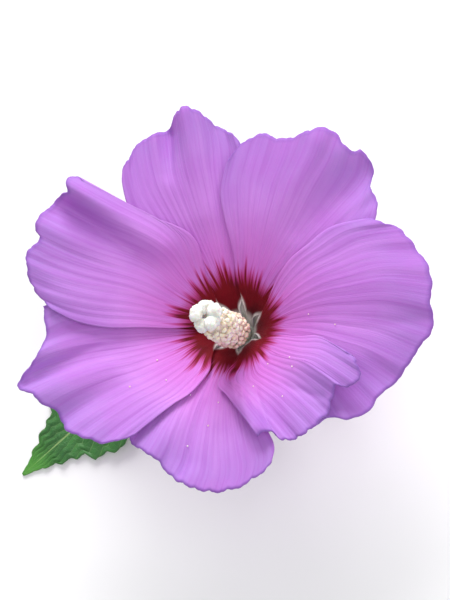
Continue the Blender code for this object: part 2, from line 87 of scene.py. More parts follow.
back = Vector((math.sin(CAMERA_LEAN) * math.cos(CAMERA_HEADING),
               math.sin(CAMERA_LEAN) * math.sin(CAMERA_HEADING), math.cos(CAMERA_LEAN)))
image_up = (Vector((0.0, 1.0, 0.0)) - back.y * back).normalized()
image_right = image_up.cross(back)
camera_data = bpy.data.cameras.new("camera")
camera_data.lens = LENS_MM
camera_data.sensor_width = SENSOR_MM
camera_data.clip_start = 0.01
camera = bpy.data.objects.new("camera", camera_data)
turn = Matrix((image_right, image_up, back)).transposed().to_4x4()
camera.matrix_world = Matrix.Translation(Vector(in_frame(CAMERA_PLACE))) @ turn
bpy.context.scene.collection.objects.link(camera)
bpy.context.scene.camera = camera
bpy.context.scene.view_settings.view_transform = "Standard"
print("the camera looks down along", [round(-v, 3) for v in back])

# %% [markdown]
# ## Floor and light
# The photo's flower floats on blank white, so a plain pale floor carries it here. The petals at the
# bottom of the photo are the brightest and the top ones are duller, which says that the light falls
# from the photo's top. One large soft lamp stands there, and a weaker one on the camera's side keeps
# the shaded petals from going dark.

# %% Floor and lamps
FLOOR_SIZE = 3.0           # metres
LAMPS = {                  # direction, distance and size in metres, power in watts, colour
    "sky_lamp": ((-0.05, 0.9, 0.46), 1.0, 0.6, 12.6, (1.0, 0.99, 0.98)),
    "camera_lamp": ((0.55, -0.2, 1.0), 1.1, 0.9, 5.0, (1.0, 1.0, 1.0)),
}
FLOWER_MIDDLE = Vector((0.0, 0.0, 0.03))

floor_bm = bmesh.new()
bmesh.ops.create_grid(floor_bm, x_segments=1, y_segments=1, size=FLOOR_SIZE)
floor_mesh = bpy.data.meshes.new("floor")
floor_bm.to_mesh(floor_mesh)
floor_bm.free()
floor = bpy.data.objects.new("floor", floor_mesh)
bpy.context.scene.collection.objects.link(floor)
for name, (towards, distance, size, power, tint) in LAMPS.items():
    lamp_data = bpy.data.lights.new(name, "AREA")
    lamp_data.shape = "SQUARE"
    lamp_data.size = size
    lamp_data.energy = power
    lamp_data.color = tint
    lamp = bpy.data.objects.new(name, lamp_data)
    place = Vector(towards).normalized() * distance
    lamp.location = place + FLOWER_MIDDLE
    lamp.rotation_euler = place.to_track_quat("Z", "Y").to_euler()
    bpy.context.scene.collection.objects.link(lamp)
world = bpy.data.worlds.new("studio")
world.use_nodes = True
world.node_tree.nodes["Background"].inputs["Color"].default_value = (0.97, 0.98, 1.0, 1.0)
world.node_tree.nodes["Background"].inputs["Strength"].default_value = 0.52
bpy.context.scene.world = world
print("lamps:", list(LAMPS))

# %% [markdown]
# ## A bench for node graphs
# A procedural finish is a graph of nodes. The bench below keeps the graphs readable: it adds a node
# with its settings, does a sum, makes a soft step or blends two colours by a mask. Each takes either a
# plain number or another node's output. Most living surfaces change slowly between two tones, so that
# blend gets a name of its own.

# %% Node bench
TONE_STEP = (0.35, 0.65)   # a noise value below and above which only one tone shows


class Bench:
    """Adds nodes to one tree."""

    def __init__(self, tree):
        self.tree = tree

    def put(self, value, socket):
        if isinstance(value, bpy.types.NodeSocket):
            self.tree.links.new(value, socket)
        else:
            socket.default_value = value

    def add(self, kind, inputs=None, **settings):
        made = self.tree.nodes.new(kind)
        for key, value in settings.items():
            setattr(made, key, value)
        for key, value in (inputs or {}).items():
            self.put(value, made.inputs[key])
        return made

    def calc(self, operation, first, second=0.0):
        return self.add("ShaderNodeMath", {0: first, 1: second}, operation=operation).outputs[0]

    def ramp(self, value, low, high, out_low=0.0, out_high=1.0):
        """A soft step from out_low to out_high as value goes from low to high."""
        limits = {"Value": value, "From Min": low, "From Max": high, "To Min": out_low, "To Max": out_high}
        return self.add("ShaderNodeMapRange", limits, interpolation_type="SMOOTHSTEP").outputs["Result"]

    def blend(self, mask, first, second):
        made = self.add("ShaderNodeMix", data_type="RGBA", clamp_factor=True)
        for index, value in ((0, mask), (6, first), (7, second)):
            self.put(value, made.inputs[index])
        return made.outputs[2]

    def two_tone(self, value, first, second):
        return self.blend(self.ramp(value, *TONE_STEP), first, second)

    def cloud(self, vector, scale, detail):
        settings = {"Vector": vector, "Scale": scale, "Detail": detail, "Roughness": 0.55}
        return self.add("ShaderNodeTexNoise", settings).outputs["Fac"]

    def bump(self, height, strength, distance, under=None, **settings):
        """A normal with a relief, over another normal if one is given."""
        inputs = {"Height": height, "Strength": strength, "Distance": distance}
        if under:
            inputs["Normal"] = under
        return self.add("ShaderNodeBump", inputs, **settings).outputs["Normal"]

    def parts(self, vector):
        return self.add("ShaderNodeSeparateXYZ", {0: vector}).outputs

    def stretched(self, uv, across, along):
        """UV places multiplied across and along a sheet."""
        parts = self.parts(uv)
        return self.add("ShaderNodeCombineXYZ", {0: self.calc("MULTIPLY", parts[0], across),
                                                 1: self.calc("MULTIPLY", parts[1], along)}).outputs[0]

    def spot(self):
        return self.parts(self.add("ShaderNodeTexCoord").outputs["Object"])

    def from_axis(self, spot):
        """How far east and north of the flower's axis a spot lies, in metres."""
        return [self.calc("SUBTRACT", spot[k], float(AXIS[k]) * MM) for k in range(2)]

    def facing(self):
        return self.parts(self.add("ShaderNodeNewGeometry").outputs["True Normal"])


def colour(red, green, blue):
    """A colour given as the 0 to 255 numbers of a paint box, made linear for the shader."""
    channels = [v / 255.0 for v in (red, green, blue)]
    return tuple(v / 12.92 if v <= 0.04045 else ((v + 0.055) / 1.055) ** 2.4 for v in channels) + (1.0,)


print("bright mauve as linear light:", [round(v, 3) for v in colour(205, 130, 230)[:3]])

# %% [markdown]
# ## Two effects that several finishes share
# Living tissue is never one flat colour. The group called tissue_mottle puts out a slow change of tone
# and a normal with a fine grain, from the object's own coordinates. The group called fan_streaks
# stretches noise along a sheet's own UV map, where U runs across the sheet and V along it, and so gives
# the fine lines that fan out along a petal, a sepal or a stem. Both are built once and are placed in
# each finish with their own values.

# %% Shared groups
GRAIN_BUMP = 0.0003        # metres
STREAK_BUMP = 0.0006


def make_group(name, inputs, outputs):
    """A node group with float inputs, or vector ones where no value is given."""
    group = bpy.data.node_groups.new(name, "ShaderNodeTree")
    for label, value in inputs.items():
        kind = "NodeSocketVector" if value is None else "NodeSocketFloat"
        socket = group.interface.new_socket(label, in_out="INPUT", socket_type=kind)
        if value is not None:
            socket.default_value = value
    for label, kind in outputs.items():
        group.interface.new_socket(label, in_out="OUTPUT", socket_type=kind)
    ends = [group.nodes.new(kind) for kind in ("NodeGroupInput", "NodeGroupOutput")]
    return Bench(group), ends[0].outputs, ends[1].inputs


bench, given, result = make_group(
    "tissue_mottle", {"Tone Scale": 120.0, "Grain Scale": 1500.0, "Grain Depth": 0.1},
    {"Tone": "NodeSocketFloat", "Grain": "NodeSocketFloat", "Normal": "NodeSocketVector"})
spot = bench.add("ShaderNodeTexCoord").outputs["Object"]
grain = bench.cloud(spot, given["Grain Scale"], 2.0)
bench.put(bench.cloud(spot, given["Tone Scale"], 3.0), result["Tone"])
bench.put(grain, result["Grain"])
bench.put(bench.bump(grain, given["Grain Depth"], GRAIN_BUMP), result["Normal"])
mottle_group = bench.tree

bench, given, result = make_group(
    "fan_streaks", {"UV": None, "Across": 60.0, "Along": 1.5, "Depth": 0.2, "Grain Normal": None},
    {"Streak": "NodeSocketFloat", "Normal": "NodeSocketVector"})
streak = bench.cloud(bench.stretched(given["UV"], given["Across"], given["Along"]), 1.0, 2.0)
bench.put(streak, result["Streak"])
bench.put(bench.bump(streak, given["Depth"], STREAK_BUMP, given["Grain Normal"]), result["Normal"])
streak_group = bench.tree
print("shared groups:", [g.name for g in bpy.data.node_groups])

# %% [markdown]
# ## What every finish has
# A finish starts with the numbers that are the same all over, set on the shader's own sockets: how
# rough, how glossy, how velvety. It ends with what changes over the surface: the colour, the normal and
# the roughness. The floor's paper is the first and the plainest.

# %% Finish helper


class Finish(Bench):
    """A material under construction, with its shader and the two shared effects."""

    def __init__(self, name, roughness, **constants):
        self.material = bpy.data.materials.new(name)
        self.material.use_nodes = True
        super().__init__(self.material.node_tree)
        self.shader = self.tree.nodes["Principled BSDF"]
        self.shader.inputs["Roughness"].default_value = roughness
        for socket, value in constants.items():
            self.shader.inputs[socket.replace("_", " ")].default_value = value

    def uv(self):
        return self.add("ShaderNodeUVMap", uv_map="sheet_uv").outputs[0]

    def mottle(self, tone_scale, grain_scale, grain_depth):
        inputs = {"Tone Scale": tone_scale, "Grain Scale": grain_scale, "Grain Depth": grain_depth}
        return self.add("ShaderNodeGroup", node_tree=mottle_group, inputs=inputs).outputs

    def streaks(self, uv, across, along, depth, grain_normal):
        inputs = {"UV": uv, "Across": across, "Along": along, "Depth": depth, "Grain Normal": grain_normal}
        return self.add("ShaderNodeGroup", node_tree=streak_group, inputs=inputs).outputs

    def complete(self, base, normal, rough_mask, smoothest, roughest):
        self.put(base, self.shader.inputs["Base Color"])
        self.put(normal, self.shader.inputs["Normal"])
        self.put(self.ramp(rough_mask, 0.3, 0.7, smoothest, roughest), self.shader.inputs["Roughness"])
        print(self.material.name, "has", len(self.tree.nodes), "nodes")
        return self.material


floor_paper = Finish("floor_paper", 0.95, Base_Color=(0.93, 0.93, 0.93, 1.0), Specular_IOR_Level=0.1)
floor_mesh.materials.append(floor_paper.material)
print("the floor has its paper")

# %% [markdown]
# ## The petal's finish
# Each petal is mauve, bluer towards its rim and pinker towards the middle. Its foot is deep crimson, and
# the crimson runs out along the veins in ragged points. Only the narrow claw at the very foot is white
# at its edges, which makes the pale star round the column. The crimson is placed by the distance from
# the flower's axis, in object coordinates, and its points by the streaks in the petal's UV map. The back
# of a petal is paler, so a second mask asks which way the surface faces.

# %% Petal masks
EYE_REACH = 12.0          # where the solid crimson ends, in millimetres from the axis
HALO_REACH = 29.0         # where the pink round it has faded
STREAK_REACH = (11.0, 20.0)
CLAW_WHITE_REACH = 7.6
PIGMENT_DEPTH = 0.78      # a petal returns less light than a paint of the same colour


def pigment(red, green, blue):
    return tuple(PIGMENT_DEPTH * v for v in colour(red, green, blue)[:3]) + (1.0,)


petal = Finish("petal_satin", 0.62, Sheen_Weight=0.08, Sheen_Roughness=0.4, Specular_IOR_Level=0.2,
               Subsurface_Weight=0.12, Subsurface_Scale=0.002, Subsurface_Radius=(1.0, 0.45, 0.8),
               Sheen_Tint=(0.9, 0.75, 1.0, 1.0))
uv = petal.uv()
uv_parts = petal.parts(uv)
across, along = petal.calc("FRACT", uv_parts[0]), uv_parts[1]
mottle = petal.mottle(70.0, 2600.0, 0.12)
fine = petal.streaks(uv, 62.0, 1.8, 0.22, mottle["Normal"])
broad = petal.streaks(uv, 15.0, 1.1, 0.0, mottle["Normal"])
squares = [petal.calc("MULTIPLY", way, way) for way in petal.from_axis(petal.spot())]
reach = petal.calc("MULTIPLY", petal.calc("SQRT", petal.calc("ADD", *squares)), 1.0 / MM)
facing_up = petal.ramp(petal.facing()[2], -0.15, 0.15)
print("the petal's masks start from", len(petal.tree.nodes), "nodes")

# %% Petal colours
# mauve with a bluer rim and fine darker veins
rim = petal.ramp(petal.calc("ADD", along, petal.calc("MULTIPLY", mottle["Tone"], 0.25)), 0.72, 1.15)
body = petal.blend(rim, pigment(216, 146, 240), pigment(182, 134, 222))
body = petal.blend(petal.ramp(mottle["Tone"], 0.35, 0.7, 0.0, 0.5), body, pigment(204, 124, 228))
body = petal.blend(petal.ramp(fine["Streak"], 0.42, 0.72, 0.0, 0.27), body, pigment(170, 84, 196))
body = petal.blend(petal.ramp(broad["Streak"], 0.5, 0.8, 0.0, 0.25), body, pigment(226, 160, 246))
body = petal.blend(petal.ramp(along, 0.978, 1.0, 0.0, 0.55), body, pigment(132, 88, 188))
# pink towards the middle
halo = petal.calc("MULTIPLY", petal.ramp(reach, EYE_REACH, HALO_REACH, 1.0, 0.0), 0.62)
halo = petal.calc("MULTIPLY", halo, petal.ramp(broad["Streak"], 0.3, 0.6, 0.7, 1.1))
body = petal.blend(halo, body, pigment(228, 118, 220))
# a crimson foot with points along the veins
points = petal.calc("MULTIPLY", petal.ramp(broad["Streak"], 0.42, 0.72), 3.4)
needles = petal.calc("MULTIPLY", petal.ramp(fine["Streak"], 0.5, 0.68), 0.9)
eye_edge = petal.calc("ADD", petal.calc("ADD", EYE_REACH - 1.4, points), needles)
past_eye = petal.calc("SUBTRACT", reach, eye_edge)
lines = petal.calc("MULTIPLY", petal.ramp(fine["Streak"], 0.55, 0.66),
                   petal.ramp(reach, *STREAK_REACH, 0.42, 0.0))
body = petal.blend(lines, body, pigment(158, 26, 110))
body = petal.blend(petal.ramp(past_eye, -0.3, 2.6, 0.8, 0.0), body, pigment(186, 22, 96))
crimson = petal.two_tone(mottle["Tone"], pigment(136, 2, 26), pigment(92, 0, 18))
body = petal.blend(petal.ramp(past_eye, -1.6, 0.5, 1.0, 0.0), body, crimson)
# white edges on the claw, in points
side = petal.calc("MINIMUM", across, petal.calc("SUBTRACT", 1.0, across))
pointed = petal.calc("ADD", reach, petal.calc("MULTIPLY", side, 9.0))
claw_white = petal.calc("MULTIPLY", petal.ramp(side, 0.02, 0.22, 1.0, 0.0),
                        petal.ramp(pointed, CLAW_WHITE_REACH - 1.4, CLAW_WHITE_REACH + 0.6, 1.0, 0.0))
white = petal.calc("MAXIMUM", claw_white, petal.ramp(reach, 3.4, 5.2, 0.9, 0.0))
body = petal.blend(white, body, colour(252, 248, 246))
# the paler back
body = petal.blend(facing_up, petal.blend(0.62, body, pigment(214, 176, 226)), body)
petal_finish = petal.complete(body, fine["Normal"], fine["Streak"], 0.52, 0.68)

# %% [markdown]
# ## A helper that bends a flat grid into a sheet
# Petals, sepals, bracts and the leaf are all thin sheets. Each starts as a flat grid from
# bmesh.ops.create_grid, whose UV map runs 0 to 1 both ways. A function says where each point of the
# sheet goes, and a Solidify modifier gives it its thickness on both sides of that surface.

# %% Sheet helper


def finish_piece(name, bm, finishes, nodes):
    """Turns a bmesh in millimetres about the axis into a piece that rides and replaces its solids."""
    mesh = bpy.data.meshes.new(name)
    bm.to_mesh(mesh)
    bm.free()
    flat = np.empty(len(mesh.vertices) * 3)
    mesh.vertices.foreach_get("co", flat)
    mesh.vertices.foreach_set("co", in_frame(flat.reshape(-1, 3)).ravel())
    mesh.update()
    mesh.shade_smooth()
    for finish in finishes:
        mesh.materials.append(finish)
    made = bpy.data.objects.new(name, mesh)
    bpy.context.scene.collection.objects.link(made)
    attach(made, "root")
    if nodes:
        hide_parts(*nodes)
    print(name, "has", len(mesh.polygons), "faces")
    return made


def sheet_bmesh(place, columns, rows, uv_offset=0.0):
    bm = bmesh.new()
    uv_layer = bm.loops.layers.uv.new("sheet_uv")
    bmesh.ops.create_grid(bm, x_segments=columns, y_segments=rows, size=0.5)
    flat = np.array([vert.co for vert in bm.verts]) + 0.5
    for face in bm.faces:
        for loop in face.loops:
            loop[uv_layer].uv = (loop.vert.co.x + 0.5 + uv_offset, loop.vert.co.y + 0.5)
    for vert, point in zip(bm.verts, place(flat[:, 0], flat[:, 1])):
        vert.co = point
    return bm


def add_wall(made, thickness):
    wall = made.modifiers.new("wall", "SOLIDIFY")
    wall.thickness = thickness * MM
    wall.offset = 0.0


def curve_through(points, count):
    """A smooth curve through the points, as count places evenly spaced along it."""
    ends = np.vstack([2 * points[0] - points[1], points, 2 * points[-1] - points[-2]])
    dense = []
    for before, start, stop, after in zip(ends, ends[1:], ends[2:], ends[3:]):
        for t in np.linspace(0.0, 1.0, 12, endpoint=False):
            dense.append(start + 0.5 * t * (stop - before)
                         + t * t * (before - 2.5 * start + 2.0 * stop - 0.5 * after)
                         + t ** 3 * (1.5 * start - 1.5 * stop + 0.5 * after - 0.5 * before))
    dense = np.array(dense + [points[-1]])
    travelled = np.concatenate([[0.0], np.cumsum(np.linalg.norm(np.diff(dense, axis=0), axis=1))])
    at = np.linspace(0.0, travelled[-1], count)
    return np.stack([np.interp(at, travelled, dense[:, k]) for k in range(dense.shape[1])], axis=1)


print("a test curve's middle:", curve_through(np.array([[0.0, 0.0], [1.0, 1.0], [2.0, 0.0]]), 3)[1])

# %% [markdown]
# ## The trumpet that all petals lie on
# An open flower is a trumpet: a short steep tube that flares to a wide face. All petals share its
# surface, with the slow waves that the face has, and each stands a little above or below it, so that it
# passes over one neighbour and under the other. These are the same rules as in the solids.

# %% Trumpet
BASE_HEIGHT = 12.5
CLAW_REACH = 2.9
FLARE_RISE = 24.0
FLARE_LENGTH = 20.0
TUBE_RISE = 4.5
TUBE_LENGTH = 1.3


def trumpet_height(reach):
    out = np.maximum(0.0, reach - CLAW_REACH)
    flare = FLARE_RISE * (1.0 - np.exp(-out / FLARE_LENGTH))
    tube = TUBE_RISE * (1.0 - np.exp(-out / TUBE_LENGTH))
    return BASE_HEIGHT + flare + tube


def trumpet_slope(reach):
    out = np.maximum(0.0, reach - CLAW_REACH)
    flare = FLARE_RISE / FLARE_LENGTH * np.exp(-out / FLARE_LENGTH)
    return flare + TUBE_RISE / TUBE_LENGTH * np.exp(-out / TUBE_LENGTH)


def sway(x, y):
    reach = np.hypot(x, y)
    heading = np.arctan2(y, x)
    waves = 1.3 * np.cos(2.0 * heading + 0.6) + 0.9 * np.cos(3.0 * heading - 1.2)
    return waves * smooth_step(12.0, 48.0, reach)


def on_trumpet(x, y, lift):
    """Points over plan places x, y, lifted off the trumpet along its own normal."""
    reach = np.maximum(np.hypot(x, y), 1e-6)
    steep = np.arctan(trumpet_slope(reach))
    moved = reach - lift * np.sin(steep)
    height = trumpet_height(reach) + lift * np.cos(steep) + sway(x, y)
    return np.stack([x / reach * moved, y / reach * moved, height], axis=-1)


print("the trumpet's rim stands", round(float(trumpet_height(50.0)), 1), "mm up")

# %% [markdown]
# ## Seven petals
# A wild flower of this kind has five petals. This one shows seven, and the pale star in its middle has
# rays to match. Each petal is told by its outline, as headings and distances from the axis, by the side
# on which it lies over its neighbour, and by its folds. Ridges rise and valleys sink, each given as
# heading, distance and height at both ends and then its width. The broad folds are those of the solids,
# and the narrow creases come after them.

# %% Petal table
PETALS = {
    "petal_right": {
        "claw": -4.0, "layers": (-12, 19),
        "right": ((-30, 7), (-35, 12), (-41, 20), (-46, 29), (-50, 35.5)),
        "rim": ((-44, 36.9), (-41, 40.4), (-35.9, 42.4), (-30.8, 42.6), (-25.7, 44.5), (-19.7, 46.3),
                (-14, 48.4), (-9.1, 50.9), (-0.6, 50.9), (6.1, 51.3), (12.8, 49.1), (19.9, 46.9)),
        "left": ((19.6, 7.8), (26.6, 10.7), (36.3, 16.6), (37.6, 21.6), (35.8, 26.5), (34, 33.4),
                 (28, 41.3)),
        "folds": (((-30, 36, -1.2), (-24, 47, -2), 6), ((2, 22, 1), (4, 46, 1.4), 13),
                  ((354, 50, -0.5), (352, 38, -0.1), 1.5), ((337, 46, -0.5), (340, 37, -0.1), 1.3),
                  ((327, 43, -0.4), (330, 35, -0.1), 1.2)),
    },
    "petal_top_right": {
        "claw": 50.0, "layers": (42, 70),
        "right": ((23, 7), (22, 12), (21, 20), (20, 30), (22, 38), (27, 41.5)),
        "rim": ((31.2, 44.3), (38.2, 46.2), (41.3, 48.8), (46.3, 50.5), (48, 48.6), (55.5, 50.1),
                (60.3, 48.3), (65.5, 44.7), (69.9, 43.8), (76.2, 43.9), (82.3, 40.9)),
        "left": ((73.7, 7.4), (81.5, 11.3), (83.8, 17.4), (88.4, 24.3), (89.8, 29.3), (88, 34.3),
                 (86.2, 37.4)),
        "folds": (((46, 28, -1), (41, 47, -3), 4), ((62, 20, 1), (57, 46, 3), 10),
                  ((33, 44, -0.6), (34, 34, -0.3), 1.4), ((53, 49, -0.4), (54, 30, -0.1), 1.6)),
    },
    "petal_top_left": {
        "claw": 101.0, "layers": (200, 300),
        "right": ((76, 7), (74, 12), (75, 20), (77, 30), (79, 37), (82, 41)),
        "rim": ((87.1, 44.3), (90.9, 45.8), (95.4, 49.5), (98.9, 51), (102.1, 49.8), (105.9, 47.4),
                (110.4, 47.6), (116.2, 46.3), (120.1, 44.3)),
        "left": ((127, 7), (130, 12), (131, 20), (131, 27), (130, 34), (126, 40), (123, 43)),
        "folds": (((99, 50, 3.2), (101, 26, 1), 3.6), ((106, 47, -2.2), (110, 38, -0.6), 2.4),
                  ((105, 46, -0.9), (110, 36, -0.2), 1.1), ((92, 45, -0.4), (96, 30, -0.2), 1.8)),
    },
    "petal_left": {
        "claw": 149.0, "layers": (0, 60),
        "right": ((122.6, 8.2), (115.6, 13.5), (109.6, 19.1), (111.6, 22.6), (117.7, 26), (123.7, 29.3),
                  (129.7, 34.3), (133.8, 38.7)),
        "rim": ((135.3, 42.3), (134.3, 47.4), (136.9, 48.3), (139.5, 46.8), (142.1, 48.1), (148.2, 49.5),
                (153.3, 49), (155.4, 47.3), (160.5, 48.7), (165.4, 47.6), (170.3, 45.3)),
        "left": ((177, 7.2), (184.7, 13.2), (184.2, 20.1), (183.6, 28), (180.6, 34.7), (176.5, 40.5)),
        "folds": (((138.5, 47.5, 4.4), (131, 24, 1.6), 3.6), ((143.5, 46, -2.4), (143, 24, -1.2), 3.4),
                  ((170, 46, -1.2), (160, 47, 0.6), 6), ((142.5, 45, -1.1), (142.5, 27, -0.7), 1.5),
                  ((158, 47, -0.4), (153, 28, -0.2), 2.0)),
    },
    "petal_lower_left": {
        "claw": 202.0, "layers": (188, 221),
        "right": ((176, 7), (173, 12), (171, 20), (170, 30), (172, 38), (175, 43)),
        "rim": ((182.8, 42.2), (190.2, 44.4), (194.5, 49.3), (197.2, 51.3), (201.2, 48.6), (205, 47),
                (208.9, 44.9), (215.3, 45.2), (222, 42.7), (228.1, 40.2)),
        "left": ((229, 7.6), (239.5, 9.9), (248.2, 13.4), (246, 19.5), (240.8, 23.9), (237.6, 28.3),
                 (234.3, 35.2)),
        "folds": (((192, 50, 2.6), (188, 30, 0.6), 3.2), ((196, 50, -2.8), (193, 30, -0.6), 2.6),
                  ((203, 50, 2.2), (204, 30, 0.8), 3.4), ((211, 46, -3), (213, 26, -0.8), 4.2),
                  ((194, 47, -1.1), (191, 30, -0.3), 0.9), ((199, 47, 0.4), (198, 34, 0.1), 1.0),
                  ((219, 42, -0.4), (218, 28, -0.1), 1.8)),
    },
    "petal_bottom": {
        "claw": 252.0, "layers": (400, 500),
        "right": ((227, 7), (226, 12), (226, 20), (228, 27), (230, 33)),
        "rim": ((233, 35.9), (239.6, 36.8), (245.9, 37.1), (253.2, 39.4), (261.4, 41.2), (269.5, 41.8),
                (277.6, 41.1), (283.6, 39.5)),
        "left": ((278, 7), (283, 12), (288, 20), (291, 28), (292, 33.5), (289, 37.2)),
        "folds": (((250, 18, 0.8), (244, 36, 1.8), 4), ((256, 18, -0.8), (258, 34, -1.4), 4),
                  ((256, 20, -0.3), (256, 38, -0.5), 0.9), ((268, 24, 0.2), (271, 41, 0.3), 1.6)),
    },
    "petal_lower_right": {
        "claw": 304.0, "layers": (0, 60),
        "right": ((280.3, 7.8), (273, 11), (264.8, 13.8), (263.1, 16.6), (271.2, 19), (278.4, 22.7),
                  (285.7, 29), (287.8, 32.1)),
        "rim": ((293.3, 31.2), (296.1, 34.3), (302.2, 36), (308.1, 36.5), (315.1, 36.4), (321.9, 35.3),
                (325.8, 34.8), (327.7, 38.1), (332.5, 39), (337.2, 37)),
        "left": ((328.1, 8.3), (337.8, 11.3), (340.9, 15.9), (341.9, 20.5), (344, 25), (341.6, 29.7),
                 (339.1, 34.4)),
        "folds": (((272, 12, 0.8), (287, 30, 2.6), 2.4), ((290, 14, -0.4), (297, 34, -0.4), 3),
                  ((322, 14, 0.8), (334, 36, 2.8), 7), ((276, 12, -0.3), (282, 21, -0.4), 0.6),
                  ((283, 13, -0.2), (289, 25, -0.4), 0.7), ((293, 20, -0.3), (293, 33, -0.5), 0.7),
                  ((311, 24, -0.2), (319, 33, -0.4), 1.0)),
    },
}
print("petals in the table:", len(PETALS))

# %% [markdown]
# ## From an outline to a surface
# A smooth patch between the four sides of a petal's outline gives every point of the grid its place in
# plan. The layer, the folds and the small waves of the rim then lift it off the trumpet. A real rim is
# uneven, so its teeth and ruffles are sums of waves that don't keep step.

# %% Petal patch
CLAW_HALF_ANGLE = 16.0
WAIST_REACH = 4.8
OUTLINE_POINTS = 241
LAYER_AT_THROAT = 0.5
LAYER_AT_RIM = 0.6
THROAT_SPAN = (4.3, 6.8)
RIM_SPAN = (8.0, 28.0)


def plan(points):
    headings = np.radians([p[0] for p in points])
    reaches = np.array([p[1] for p in points])
    return np.stack([reaches * np.cos(headings), reaches * np.sin(headings)], axis=1)


def petal_plan(petal, u, v):
    """Plan places inside a petal's outline: u runs 0 to 1 from right to left, v from claw to rim."""

    def side_curve(side, turn):
        foot = [(petal["claw"] + turn * CLAW_HALF_ANGLE, reach) for reach in (CLAW_REACH, WAIST_REACH)]
        return curve_through(plan(tuple(foot) + petal[side]), OUTLINE_POINTS)

    def along_curve(curve, t):
        at = np.linspace(0.0, 1.0, OUTLINE_POINTS)
        return np.stack([np.interp(t, at, curve[:, axis]) for axis in range(2)], axis=-1)

    right, left = side_curve("right", -1.0), side_curve("left", 1.0)
    rim_points = (petal["right"][-1],) + petal["rim"] + (petal["left"][-1],)
    rim_line = curve_through(plan(rim_points), OUTLINE_POINTS)
    foot_line = np.linspace(right[0], left[0], OUTLINE_POINTS)
    u2, v2 = u[:, None], v[:, None]
    sides = (1 - u2) * along_curve(right, v) + u2 * along_curve(left, v)
    ends = (1 - v2) * along_curve(foot_line, u) + v2 * along_curve(rim_line, u)
    near = (1 - u2) * right[0] + u2 * left[0]
    far = (1 - u2) * right[-1] + u2 * left[-1]
    return sides + ends - (1 - v2) * near - v2 * far


def petal_lift(petal, x, y):
    """Height off the trumpet: under one neighbour and over the other, with ridges and valleys."""
    reach = np.hypot(x, y)
    claw = petal["claw"]
    heading = claw + (np.degrees(np.arctan2(y, x)) - claw + 180.0) % 360.0 - 180.0
    side = 2.0 * smooth_step(*petal["layers"], heading) - 1.0
    lift = side * (LAYER_AT_THROAT * smooth_step(*THROAT_SPAN, reach)
                   + LAYER_AT_RIM * smooth_step(*RIM_SPAN, reach))
    for start, end, width in petal["folds"]:
        foot, head = plan((start[:2], end[:2]))
        run = head - foot
        t = np.clip(((x - foot[0]) * run[0] + (y - foot[1]) * run[1]) / (run @ run), 0.0, 1.0)
        away = np.hypot(x - foot[0] - t * run[0], y - foot[1] - t * run[1])
        lift += (start[2] + t * (end[2] - start[2])) * np.exp(-((away / width) ** 2))
    return lift


def scallop(u, v, seed):
    """How far the rim stands out beyond its smooth line: small rounded teeth of uneven size."""
    teeth = np.abs(np.sin(math.pi * 9.0 * u + 1.9 * np.sin(7.0 * u + seed) + seed)) ** 0.7
    small = np.abs(np.sin(math.pi * 23.0 * u + 1.3 * np.sin(11.0 * u + 2.0 * seed))) ** 0.8
    return (0.55 * (teeth - 0.75) + 0.22 * (small - 0.7)) * smooth_step(0.86, 1.0, v)


def ruffle(u, v, seed):
    """Small waves across the petal that grow towards its rim."""
    slow = 0.34 * np.sin(2.0 * math.pi * (3.3 * u + 0.15 * seed) + 0.8 * seed)
    quick = 0.17 * np.sin(2.0 * math.pi * 8.5 * u + 2.1 * seed)
    ribs = 0.05 * np.sin(2.0 * math.pi * 19.0 * u + 3.0 * np.sin(4.0 * u + seed))
    return (slow * smooth_step(0.55, 1.0, v) + quick * smooth_step(0.78, 1.0, v)
            + ribs * smooth_step(0.2, 0.6, v))


rim_u = np.linspace(0.0, 1.0, 99)
print("the rim's teeth stand out up to", round(float(scallop(rim_u, np.ones(99), 1.0).max()), 2), "mm")

# %% [markdown]
# ## Make the petals
# The visible petal is thinner than its solid, because a real one is only a third of a millimetre thick.
# Its rows crowd together near the claw, where the trumpet bends most.

# %% Petals
PETAL_COLUMNS = 96
PETAL_ROWS = 76
PETAL_THICKNESS = 0.32
CLAW_CROWDING = 1.35

for number, (node, petal) in enumerate(PETALS.items()):
    seed = 1.7 * number + 0.6

    def petal_place(u, v):
        x, y = petal_plan(petal, u, v ** CLAW_CROWDING).T
        grow = 1.0 + scallop(u, v, seed) / np.maximum(np.hypot(x, y), 1e-6)
        x, y = x * grow, y * grow
        return on_trumpet(x, y, petal_lift(petal, x, y) + ruffle(u, v, seed))

    petal_bm = sheet_bmesh(petal_place, PETAL_COLUMNS, PETAL_ROWS, float(number))
    add_wall(finish_piece(node + "_skin", petal_bm, [petal_finish], [node]), PETAL_THICKNESS)
print("petals made:", len(PETALS))

# %% [markdown]
# ## The column
# Pistil and stamens stand on one column in the flowers of this family. Its lower part is bare and white.
# Above that, some two hundred kidney-shaped anthers sit on short threads all round it, creamy at the top
# and hanging out like beads at the lower edge. The core is a small ring pulled upwards ring by ring, and
# the anthers follow the golden turn, the way a plant really sets them. Many small shapes share one mesh,
# so each has only a few dozen faces.

# %% Column and anther finishes
SOFT = {"Specular_IOR_Level": 0.25, "Subsurface_Weight": 0.15, "Subsurface_Scale": 0.0015}

anther = Finish("anther_cream", 0.75, **SOFT)
mottle = anther.mottle(420.0, 5200.0, 0.5)
height = anther.calc("MULTIPLY", anther.spot()[2], 1.0 / MM)
cream = anther.two_tone(mottle["Tone"], colour(255, 250, 228), colour(244, 228, 192))
low_tone = anther.two_tone(mottle["Tone"], colour(250, 226, 206), colour(228, 190, 172))
cream = anther.blend(anther.ramp(height, 24.0, 36.0), low_tone, cream)
cream = anther.blend(anther.ramp(mottle["Grain"], 0.55, 0.75, 0.0, 0.5), cream, colour(255, 252, 240))
anther_finish = anther.complete(cream, mottle["Normal"], mottle["Grain"], 0.6, 0.85)

